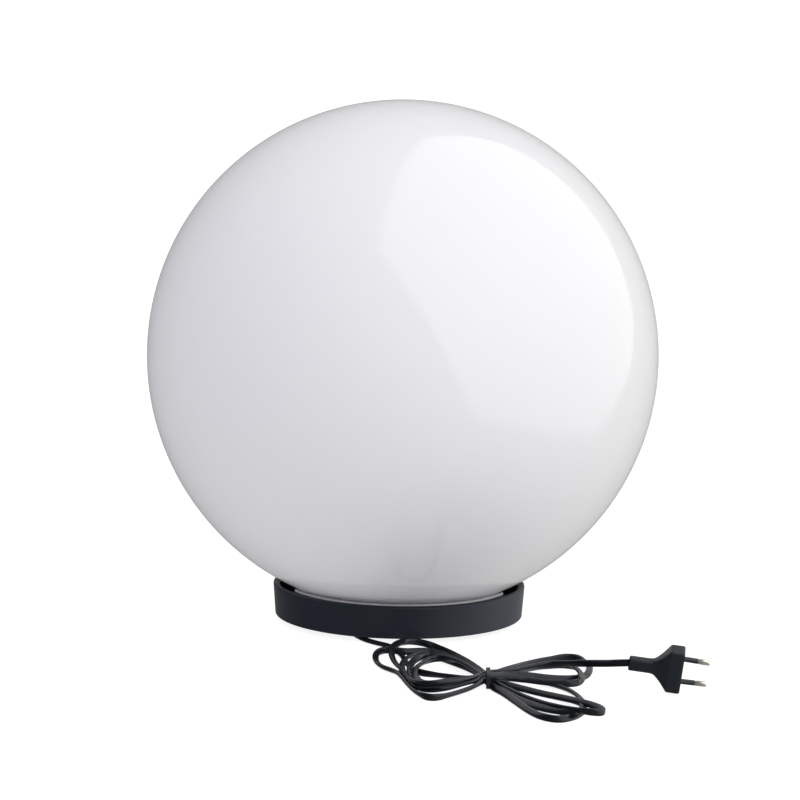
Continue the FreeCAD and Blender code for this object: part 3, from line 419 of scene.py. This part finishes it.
def housing_piece(finish):
    """Cap profile turned about Z; the flange's hole widens to the slot radius over the slots' azimuths.

    The widening is w * w * (3 - 2 w), where w runs from 0 to 1 across a slot's end.
    """
    azimuths = set(np.linspace(0, 360, HOUSING_STEPS, endpoint=False).tolist())
    for slot in SLOT_AZIMUTHS:
        for side in (-1, 1):
            azimuths |= {(slot + side * (SLOT_HALF + near)) % 360 for near in SLOT_END_STEPS}
    azimuths = np.array(sorted(azimuths))
    from_slot = np.min([np.abs((azimuths - slot + 180) % 360 - 180) for slot in SLOT_AZIMUTHS], axis=0)
    wide = np.clip((SLOT_HALF + SLOT_END_HALF - from_slot) / (2 * SLOT_END_HALF), 0, 1)
    wide = wide * wide * (3 - 2 * wide)
    hole = FLANGE_HOLE_R + (SLOT_R - FLANGE_HOLE_R) * wide
    outer = np.concatenate([
        arc((BASE_RIM_R - RIM_EDGE, BASE_RIM_Z + RIM_EDGE), RIM_EDGE, -90, 0, 6),
        soft_line([(BASE_RIM_R + 0.05, BASE_RIM_Z + 2.0), (BASE_TOP_R, BASE_TOP_Z - BASE_EDGE_R - 0.2)], 4.0),
        arc((BASE_TOP_R - BASE_EDGE_R, BASE_TOP_Z - BASE_EDGE_R), BASE_EDGE_R, 0, 90, 10),
        arc((LIP_INNER_R + LIP_EDGE, BASE_TOP_Z - LIP_EDGE), LIP_EDGE, 90, 180, 5),
        [(LIP_INNER_R, FLANGE_TOP_Z + LIP_EDGE), (LIP_INNER_R - 0.12, FLANGE_TOP_Z + 0.12),
         (LIP_INNER_R - LIP_EDGE, FLANGE_TOP_Z)],
    ])
    inner = np.array([(SKIRT_INNER_TOP_R, FLANGE_UNDER_Z), (SKIRT_INNER_RIM_R, BASE_RIM_Z + 0.3),
                      (SKIRT_INNER_RIM_R + 0.3, BASE_RIM_Z)])
    count = len(azimuths)
    mouth = ((np.minimum(hole + HOLE_EDGE, SLOT_R + 0.3), FLANGE_TOP_Z), (hole, FLANGE_TOP_Z - HOLE_EDGE),
             (hole, FLANGE_UNDER_Z + 0.1), (hole + 0.1, FLANGE_UNDER_Z))
    profile = np.concatenate([
        np.broadcast_to(outer, (count, *outer.shape)),
        np.stack([np.stack([radius, np.full(count, height)], -1) for radius, height in mouth], 1),
        np.broadcast_to(inner, (count, *inner.shape)),
    ], axis=1)
    return mesh_piece("base_cap", *lathe(profile, azimuths), finish, 35.0)


# ---- cord ----
# Control points before and after the hank: from the strain relief under the rim, and up to the plug.
LEAD_OUT = [(-45, -50, 8.2), (-40.5, -62, 6.6), (-34.5, -76.5, 3.4), (-26.5, -89.5, 1.9), (-17, -102, 1.9),
            (-6, -114.5, 2.4)]
LEAD_PLUG = [(108, -203, 9.8), (121, -205, 11.2), (133.5, -213.5, 13.6), (145, -227, 16.8), (152.5, -239, 19.6),
             (159.5, -246.5, 21.7)]

# Plan points of the hank in winding order: name, stacking rank, points.
HANK = (
    ("lead", 0, [(1, -131), (5, -160), (9, -189), (16, -206), (31, -211), (44, -217), (55, -222)]),
    ("right_1", 1, [(76, -218), (88, -217), (98, -220), (108, -229), (118, -241), (126, -256), (131, -275),
                    (133, -294), (132, -310), (129, -323), (122, -337), (113, -345), (103, -339), (94, -321),
                    (85, -292), (76, -262), (69, -248)]),
    ("left_1", 2, [(60, -205), (54, -184), (45, -161), (36, -144), (26, -134), (17, -136), (6, -143), (-4, -138),
                   (-11, -136), (-16, -142), (-17, -157), (-15, -175), (-11, -187), (-5, -196), (0, -204), (4, -221),
                   (8, -243), (13, -265), (19, -281), (26, -285), (34, -279), (44, -269), (54, -259), (61, -247)]),
    ("right_2", 8, [(74, -207), (83, -186), (95, -167), (110, -152), (124, -144), (134, -145), (140, -155),
                    (143, -170), (142, -188), (139, -204), (132, -216), (121, -221), (109, -221), (96, -219),
                    (83, -221)]),
    ("left_2", 4, [(55, -249), (44, -260), (32, -268), (21, -266), (13, -249), (7, -225), (3, -200), (3, -181),
                   (5, -165), (10, -151), (18, -141), (26, -139), (35, -149), (43, -167), (55, -190), (61, -212)]),
    ("right_3", 5, [(72, -243), (80, -258), (90, -279), (101, -300), (112, -319), (125, -333), (136, -339),
                    (143, -338), (145, -331), (140, -318), (130, -306), (117, -290), (106, -276), (93, -261),
                    (82, -249), (74, -242)]),
    ("left_3", 6, [(60, -214), (51, -194), (40, -171), (31, -153), (24, -146), (17, -152), (11, -169), (9, -190),
                   (9, -211), (13, -232), (19, -248), (28, -253), (40, -248), (53, -239)]),
    ("right_4", 9, [(76, -217), (86, -204), (98, -188), (111, -175), (122, -172), (130, -181), (134, -200),
                    (135, -224), (132, -238), (125, -241), (116, -240), (105, -236), (93, -232), (80, -231)]),
    ("left_4", 7, [(49, -245), (36, -251), (25, -257), (18, -254), (14, -241), (12, -219), (14, -198), (20, -180),
                   (27, -171), (36, -174), (46, -188), (57, -211)]),
    ("right_5", 3, [(76, -238), (90, -248), (106, -263), (118, -278), (127, -293), (131, -308), (131, -322),
                    (127, -334), (120, -331), (111, -323), (100, -310), (88, -288), (76, -257)]),
    ("left_5", 10, [(64, -205), (54, -170), (40, -136), (29, -115), (19, -105), (9, -105), (1, -117), (-4, -135),
                    (-5, -152), (-4, -169), (-1, -187), (3, -202), (6, -220), (9, -240), (13, -256), (19, -268),
                    (28, -271), (37, -267), (47, -259), (57, -246)]),
    ("end", 11, [(79, -224), (93, -211)]),
)
END_HEIGHTS = (8.6, 8.8)        # the end rises over the loops on its way to the plug
# Place of each pass in the tie: how far towards the back of the tie's middle, and its height.
WAIST_PASSES = ((8.5, 3.3), (-1.7, 3.3), (0.0, 8.0), (-3.4, 8.0), (1.7, 3.3), (-5.1, 3.3), (3.4, 8.0), (-6.8, 8.0),
                (-8.5, 3.3), (5.1, 3.3), (6.8, 8.0))
FLAT_HEIGHT, UPRIGHT_RISE = 1.8, 0.95       # height of a flat strand's middle, and how much more on its edge
OVER_REACH = 2.3                            # plan distance at which a strand counts as over another
SLOPE = 8                                   # a strand falls by one in this many
SPREAD_PASSES, EVEN_PASSES = 6, 3
HIGHEST = 9.5
TILT = 0.4                      # part of a quarter turn by which straight runs in the hank lean
FLAT_TO_UPRIGHT = (0.015, 0.045)    # plan curvature in 1/mm at which the cord starts and ends its turn onto its edge


def spline_samples(points, steps=8):
    """Points of the quadratic B-spline around each control point.

    0.5 (1 - t)^2 P0 + (0.5 + t - t^2) P1 + 0.5 t^2 P2, with t from 0 to 1.
    """
    t = (np.arange(steps) + 0.5)[:, None] / steps
    before, here, after = points[:-2, None], points[1:-1, None], points[2:, None]
    return 0.5 * (1 - t) ** 2 * before + (0.5 + t - t * t) * here + 0.5 * t * t * after


def bend(points):
    """Plan curvature at each point of a route, in 1/mm."""
    before, after = points[1:-1] - points[:-2], points[2:] - points[1:-1]
    run_before, run_after = np.linalg.norm(before, axis=1), np.linalg.norm(after, axis=1)
    turn = np.arccos(np.clip((before * after).sum(1) / (run_before * run_after + 1e-9), -1, 1))
    return np.pad(turn / ((run_before + run_after) / 2), 1)


def hank_route():
    """Control points of the hank, with heights from what lies under each strand.

    A strand lies flat on the floor where it is straight and on its edge where it bends. Strands are settled in
    stacking order: a point over a lower strand is raised by a cord's thickness, the rise is spread along the strand
    at one in SLOPE, and the heights are then evened with weights 1, 2, 1.
    """
    plan, ranks, fixed, least = [], [], [], []
    for number, (name, rank, points) in enumerate(HANK):
        plan += points
        ranks += [rank] * len(points)
        fixed += [0.0] * len(points)
        least += list(END_HEIGHTS) if name == "end" else [0.0] * len(points)
        if number < len(WAIST_PASSES):
            across, height = WAIST_PASSES[number]
            plan.append((WAIST[0], WAIST[1] + across))
            ranks.append(rank)
            fixed.append(height)
            least.append(0.0)
    plan, ranks, fixed = np.array(plan, float), np.array(ranks), np.array(fixed)
    samples = spline_samples(np.concatenate([plan[:1], plan, plan[-1:]]))
    upright = np.interp(bend(plan), FLAT_TO_UPRIGHT, (0, 1))
    tied = fixed > 0
    heights = np.maximum(np.where(tied, fixed, FLAT_HEIGHT + UPRIGHT_RISE * upright), least)
    index = np.arange(len(plan))
    for rank in sorted(set(ranks)):
        own = index[(ranks == rank) & ~tied]
        under = index[(ranks < rank) & ~tied]
        if len(under):
            lower = samples[under].reshape(-1, 2)
            over_lower = np.repeat(heights[under], samples.shape[1])[None] + CORD_THICKNESS
            for i in own:
                near = np.linalg.norm(samples[i][:, None] - lower[None], axis=2) < OVER_REACH
                heights[i] = max(heights[i], np.where(near, over_lower, 0).max())
        for _ in range(SPREAD_PASSES):
            for i in own:
                for other in (i - 1, i + 1):
                    if 0 <= other < len(plan):
                        fall = np.linalg.norm(plan[i] - plan[other]) / SLOPE
                        heights[i] = max(heights[i], heights[other] - fall)
    for _ in range(EVEN_PASSES):
        wide = np.concatenate([heights[:1], heights, heights[-1:]])
        heights = np.where(tied, fixed, 0.25 * wide[:-2] + 0.5 * wide[1:-1] + 0.25 * wide[2:])
    return np.column_stack([plan, np.minimum(heights, HIGHEST)])


def cord_points():
    """All control points of the cord, from the strain relief to the plug, in millimetres."""
    back = plug_place() @ Vector((-PLUG_LENGTH, 0, 0))
    return np.concatenate([LEAD_OUT, hank_route(), LEAD_PLUG, [tuple(back)]])


SHORTEST_STEP = 0.05            # millimetres between two points of the traced path


def traced_path():
    """Points along the cord's spline, in millimetres, and how far along the cord each one lies."""
    curve = bpy.data.curves.new("cord_line", "CURVE")
    curve.dimensions = "3D"
    curve.resolution_u = 9
    spline = curve.splines.new("NURBS")
    control = cord_points()
    spline.points.add(len(control) - 1)
    spline.points.foreach_set("co", np.column_stack([control * MM, np.ones(len(control))]).ravel())
    spline.order_u = 3
    spline.use_endpoint_u = True
    line = bpy.data.objects.new("cord_line", curve)
    bpy.context.scene.collection.objects.link(line)
    traced = bpy.data.meshes.new_from_object(line)
    path = np.empty(len(traced.vertices) * 3)
    traced.vertices.foreach_get("co", path)
    path = path.reshape(-1, 3) / MM
    bpy.data.objects.remove(line)
    path = path[np.concatenate([[True], np.linalg.norm(np.diff(path, axis=0), axis=1) > SHORTEST_STEP])]
    return path, np.concatenate([[0], np.cumsum(np.linalg.norm(np.diff(path, axis=0), axis=1))])


TIE_REACH = (12, 22)            # from the tie's middle: fully on its edge up to the first, free from the second
RIM_RUN = (0, 90, 105, 110)     # along the cord: start, end of the flat run, where it may lean, where it may stand
BEFORE_PLUG = (75, 45)          # distances before the plug over which the cord turns onto its edge
PLUG_TWIST = (40, 4)            # distances before the plug over which it takes up the plug's lean
BEND_STEP = 4                   # millimetres between the points at which the bend is measured
EVENING = 27                    # width of the window in millimetres that evens the turn


def section_turn(path, run):
    """How far the cord's wide side is turned from level at each point of its path, in radians.

    It is level under the rim, leans a little in straight runs, stands on its edge in tight bends and in the tie,
    and leans with the plug at the cord's end. It is worked out at each millimetre of the cord and then evened.
    """
    end = run[-1]
    even = np.arange(0.0, end + 1.0)
    plan = np.column_stack([np.interp(even, run, path[:, k]) for k in (0, 1)])
    edgeways = np.interp(even, even[::BEND_STEP], np.interp(bend(plan[::BEND_STEP]), FLAT_TO_UPRIGHT, (0, 1)))
    in_tie = np.interp(np.linalg.norm(plan - WAIST, axis=1), TIE_REACH, (1, 0))
    start, flat_end, leans_from, stands_from = RIM_RUN
    edgeways = np.maximum(edgeways, np.maximum(in_tie, TILT) * (even > leans_from))
    window = np.hanning(EVENING)
    edgeways = np.convolve(np.pad(edgeways, (EVENING - 3) // 2, "edge"), window[1:-1] / window.sum(), "valid")
    edgeways = np.minimum(edgeways, np.interp(even, (start, flat_end, stands_from), (0, 0, 1)))
    edgeways = np.maximum(edgeways, np.interp(even, (end - BEFORE_PLUG[0], end - BEFORE_PLUG[1]), (0, 1)))
    lean = np.interp(run, (end - PLUG_TWIST[0], end - PLUG_TWIST[1]), (0, PLUG_LEAN))
    return np.radians(90) * np.interp(run, even, edgeways) + np.radians(lean)


SECTION_STEPS = 18
WIDE_POWER, THIN_POWER = 0.72, 0.86     # below 1, they flatten the oval's sides


def cord_piece(finish):
    """Flat oval section carried along the cord's spline: (w cos^p s, h sin^q s), turned by section_turn.

    The path is raised where the turned section would touch the floor.
    """
    path, run = traced_path()
    turn = section_turn(path, run)
    reach_down = (CORD_WIDTH - CORD_THICKNESS) / 2 * np.abs(np.sin(turn)) + CORD_THICKNESS / 2
    path[:, 2] = np.maximum(path[:, 2], reach_down + FLOOR_GAP)
    ahead = np.gradient(path, axis=0)
    ahead /= np.linalg.norm(ahead, axis=1)[:, None]
    level = np.cross(ahead, [0, 0, 1.0])
    level /= np.linalg.norm(level, axis=1)[:, None]
    across, upward = level[:, None], np.cross(level, ahead)[:, None]
    turn = turn[:, None, None]
    wide_way = across * np.cos(turn) + upward * np.sin(turn)
    thin_way = upward * np.cos(turn) - across * np.sin(turn)
    s = np.linspace(0, 2 * np.pi, SECTION_STEPS, endpoint=False)[None, :, None]
    wide = np.sign(np.cos(s)) * np.abs(np.cos(s)) ** WIDE_POWER * CORD_WIDTH / 2
    thin = np.sign(np.sin(s)) * np.abs(np.sin(s)) ** THIN_POWER * CORD_THICKNESS / 2
    points = (path[:, None] + wide_way * wide + thin_way * thin).reshape(-1, 3)
    return mesh_piece("cord", points, tube_faces(len(path), SECTION_STEPS), finish, 60.0), path


# ---- plug ----
def plug_place():
    """From the plug's own frame (pins along +X, narrow side up) to where it lies, in millimetres.

    It rests on the lowest corner of its head.
    """
    turn = (Matrix.Rotation(radians(PLUG_YAW), 4, "Z") @ Matrix.Rotation(radians(PLUG_PITCH), 4, "Y")
            @ Matrix.Rotation(radians(PLUG_LEAN), 4, "X"))
    corners = [turn @ Vector((x, y, -PLUG_WIDTH / 2))
               for x in (0, -PLUG_HEAD) for y in (-PLUG_THICKNESS / 2, PLUG_THICKNESS / 2)]
    lowest = min(0.0, min(c.z for c in corners))
    return Matrix.Translation((PLUG_FACE[0], PLUG_FACE[1], FLOOR_GAP - lowest)) @ turn


def in_place(points):
    """Points of the plug's own frame moved to where it lies."""
    place = np.array(plug_place())
    return np.asarray(points) @ place[:3, :3].T + place[:3, 3]


def plug_piece(finish):
    """Sections across X: rounded rectangles whose width, thickness and corner radius change along the plug."""
    stations = np.array([  # x, half width, half thickness, corner radius
        (0.0, 15.7, 5.7, 1.6), (-0.25, 16.5, 6.5, 2.0), (-0.9, 16.85, 6.9, 2.2), (-1.8, 17.0, 7.0, 2.3),
        (-9.3, 17.0, 7.0, 2.4), (-10.1, 16.7, 6.95, 2.4), (-10.9, 15.9, 6.8, 2.5), (-12.2, 14.2, 6.45, 2.6),
        (-15.0, 10.8, 5.8, 2.8), (-18.0, 7.7, 5.1, 2.9), (-20.2, 6.0, 4.65, 3.0), (-22.0, 5.3, 4.4, 3.1),
        (-24.5, 5.2, 4.25, 3.2), (-32.0, 5.35, 3.95, 3.2), (-37.6, 5.5, 3.65, 3.1), (-38.5, 5.3, 3.45, 2.9),
        (-39.0, 4.7, 2.9, 2.4)])
    x = soft_line(stations[:, :1], 1.2)[:, 0]
    half_width, half_thickness, radius = (np.interp(-x, -stations[:, 0], stations[:, k])[:, None] for k in (1, 2, 3))
    quarter = np.radians(np.linspace(0, 90, 7))
    up = np.repeat([1, -1, -1, 1], len(quarter))
    out = np.repeat([1, 1, -1, -1], len(quarter))
    angle = np.concatenate([quarter, quarter[::-1], quarter, quarter[::-1]])
    y = out * (half_thickness - radius + radius * np.sin(angle))
    z = up * (half_width - radius + radius * np.cos(angle))
    points = np.stack([np.broadcast_to(x[:, None], y.shape), y, z], -1).reshape(-1, 3)
    return mesh_piece("plug", in_place(points), tube_faces(len(x), len(angle)), finish, 30.0)


def pin_lathe(side, profile, count=28):
    """Profile of (distance along, radius) turned about one pin's axis, which leans inwards by the toe-in."""
    lean = radians(PIN_TOE_IN)
    along = np.array([np.cos(lean), 0, -side * np.sin(lean)])
    across = np.array([0, 1.0, 0])
    third = np.cross(along, across)
    base = np.array([0, 0, side * PIN_HALF_SPACING])
    profile = np.asarray(profile, float)
    s = np.linspace(0, 2 * np.pi, count, endpoint=False)[:, None, None]
    d, r = profile[None, :, :1], profile[None, :, 1:]
    points = base + along * d + (across * np.cos(s) + third * np.sin(s)) * r
    return in_place(points.reshape(-1, 3)), grid_faces(count, len(profile), True, False)


def both_pins(name, profile, finish, smooth_angle):
    """One piece with the profile turned about each pin's axis."""
    return mesh_piece(name, *join_parts([pin_lathe(side, profile) for side in (-1, 1)]), finish, smooth_angle)


SHANK_R, PIN_ROOT, TIP_LENGTH = 1.68, -6.0, 1.6


def pins_piece(finish):
    """Bright tips beyond the sleeves, rounded by about a quarter ellipse, on thinner shanks."""
    t = np.radians(np.linspace(0, 90, 9))
    tip = np.stack([PIN_LENGTH - TIP_LENGTH + TIP_LENGTH * np.sin(t), PIN_R * np.cos(t) ** 0.8], -1)
    tip[-1, 1] = 0.0
    shank = [(PIN_ROOT, 0.0), (PIN_ROOT, SHANK_R), (SLEEVE_LENGTH, SHANK_R), (SLEEVE_LENGTH + 0.02, PIN_R - 0.15),
             (SLEEVE_LENGTH + 0.18, PIN_R)]
    return both_pins("pins", np.concatenate([shank, tip]), finish, 50.0)


def sleeves_piece(finish):
    """Insulating sleeves: a collar at the plug's face, and a small rounded step at the tip end."""
    profile = [(-0.4, 1.72), (-0.4, 2.1), (0.25, 2.1), (0.5, 1.97), (9.5, 1.97), (9.8, 1.9), (9.95, 1.75)]
    return both_pins("pin_sleeves_cover", profile, finish, 40.0)


# ---- tie ----
TIE_HALF, TIE_LOW, TIE_HIGH, TIE_CORNER = 11.1, 0.6, 11.5, 2.4


def tie_piece(finish):
    """Flat band with bevelled edges, carried round the waist on a rounded rectangle in Y and Z."""
    side, top, bottom = TIE_HALF - TIE_CORNER, TIE_HIGH - TIE_CORNER, TIE_LOW + TIE_CORNER
    path = np.concatenate([arc((side, top), TIE_CORNER, 90, 0, 7), arc((side, bottom), TIE_CORNER, 0, -90, 7),
                           arc((-side, bottom), TIE_CORNER, -90, -180, 7), arc((-side, top), TIE_CORNER, 180, 90, 7)])
    tangent = np.roll(path, -1, 0) - np.roll(path, 1, 0)
    tangent /= np.linalg.norm(tangent, axis=1)[:, None]
    out = np.stack([-tangent[:, 1], tangent[:, 0]], -1)
    section = np.array([(-1.6, -0.35), (-1.45, -0.55), (1.45, -0.55), (1.6, -0.35), (1.6, 0.35), (1.45, 0.55),
                        (-1.45, 0.55), (-1.6, 0.35)])
    x = np.broadcast_to(section[None, :, 0] + WAIST[0], (len(path), len(section)))
    yz = path[:, None] + out[:, None] * section[None, :, 1:]
    band = np.stack([x, yz[..., 0] + WAIST[1], yz[..., 1]], -1).reshape(-1, 3)
    return mesh_piece("tie_band", band, grid_faces(len(path), len(section), True, True), finish)


# ---- build ----
set_camera()
set_floor()
set_world()
set_lamps()
bpy.context.scene.view_settings.view_transform = "Standard"

opal = opal_acrylic()
black = moulded_black()
# Silicone rubber, moulded: pale and matt, so that the strip under the globe reads as part of its light underside.
seal = plain_finish("silicone_seal", "e6e6e8", "efeff1", 0.55, 60.0, 0.00005, ior=1.41)
# Extruded PVC cord: near black, with a thin bright line along each strand.
pvc = plain_finish("cord_pvc", "0a0d11", "10141a", 0.21, 140.0, 0.00006, ior=1.52, sheen="d6dbe1")
# PVC moulded over the plug: the same black, softer in its gloss.
plug_plastic = plain_finish("plug_pvc", "10151a", "171d22", 0.36, 160.0, 0.00008, ior=1.52, sheen="d2d8dc")
# Nylon sleeves: black against the bright pins.
sleeve_plastic = plain_finish("sleeve_nylon", "121416", "1a1d20", 0.32, 200.0, 0.00003, ior=1.53)
# Nickel-plated brass, tumbled: bright and slightly warm.
nickel = plain_finish("nickel_plate", "e2ddd2", "efeae0", 0.20, 300.0, 0.00002, metallic=1.0)
# Soft vinyl tie: a little greyer and duller than the cord.
tie_plastic = plain_finish("tie_vinyl", "0f1113", "191b1e", 0.40, 200.0, 0.00004, ior=1.5)
# Rubber feet: dull dark grey.
rubber = plain_finish("foot_rubber", "18191a", "232425", 0.75, 180.0, 0.0001, ior=1.52)
# Zinc-plated steel screws, nut and bracket: cool satin grey.
zinc = plain_finish("zinc_steel", "9da0a2", "b8babb", 0.32, 240.0, 0.00004, metallic=1.0)
# Turned brass contacts and tube: yellow, satin.
brass = plain_finish("brass", "b08a4a", "c9a562", 0.28, 240.0, 0.00003, metallic=1.0)
# Rolled aluminium lamp cap: pale and bright.
bulb_metal = plain_finish("bulb_cap_aluminium", "a9abad", "c2c4c6", 0.30, 240.0, 0.00003, metallic=1.0)
# White moulded nylon: terminal block and the lamp's collar, slightly creamy and satin.
white_plastic = plain_finish("terminal_nylon", "d9d8d2", "e6e5e0", 0.45, 120.0, 0.00005, ior=1.53)
# Pressed phenolic lampholder: brown-black with a soft shine.
holder_plastic = plain_finish("holder_phenolic", "1c1b1a", "262524", 0.38, 120.0, 0.00005, ior=1.6)
# Frosted plastic over the lamp: warm white without a clear reflection.
frosted = plain_finish("bulb_diffuser_frost", "e2e1dc", "efeeea", 0.5, 120.0, 0.00004, ior=1.49)
# White solder mask on the lamp's board.
board = plain_finish("board_solder_mask", "dfe0dc", "ebece8", 0.4, 120.0, 0.00003, ior=1.5)
# Black glass round the lamp's contact: smooth and sharp in its gloss.
glass = plain_finish("insulator_glass", "101013", "1a1a20", 0.15, 120.0, 0.00002, ior=1.52)
# PVC wire insulation in the two mains colours.
brown = plain_finish("wire_brown", "4a2a18", "5a3421", 0.45, 200.0, 0.00004, ior=1.52)
blue = plain_finish("wire_blue", "1f4a8a", "2a5a9c", 0.45, 200.0, 0.00004, ior=1.52)

# Solids that are shown as they are, with the finish of each.
CARRIED = {
    "base_plate": black, "cord_grommet": pvc, "cord_inner": pvc, "clamp_saddle": black, "cord_clamp": black,
    "plate_screws": zinc, "clamp_screws": zinc, "terminal_screws": zinc, "bracket_screws": zinc,
    "rubber_feet": rubber, "terminal_block": white_plastic, "live_wire": brown, "neutral_wire": blue,
    "holder_bracket": zinc, "holder_nipple": brass, "nipple_nut": zinc, "holder_body": holder_plastic,
    "holder_shell": brass, "centre_contact": brass, "side_contact": brass, "bulb_cap": bulb_metal,
    "bulb_insulator": glass, "bulb_contact": bulb_metal, "bulb_housing": white_plastic, "bulb_led_board": board,
    "bulb_diffuser": frosted,
}
for name, finish in CARRIED.items():
    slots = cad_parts[name].data.materials
    slots.clear()
    slots.append(finish)

globe = globe_piece(opal)
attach(globe, "globe")
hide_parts("globe")
neck_seal = seal_piece(seal)
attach(neck_seal, "root")
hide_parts("neck_gasket")
cap = housing_piece(black)
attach(cap, "root")
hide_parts("base_housing")

plug = plug_piece(plug_plastic)
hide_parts("plug_body")
pins = pins_piece(nickel)
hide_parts("plug_pins")
sleeves = sleeves_piece(sleeve_plastic)
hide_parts("pin_sleeves")
tie = tie_piece(tie_plastic)
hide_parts("cord_tie")
cord, cord_path = cord_piece(pvc)
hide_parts("cord_lead_out", "cord_hank", "cord_lead_plug")
for piece in (plug, pins, sleeves, tie, cord):
    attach(piece, "root")
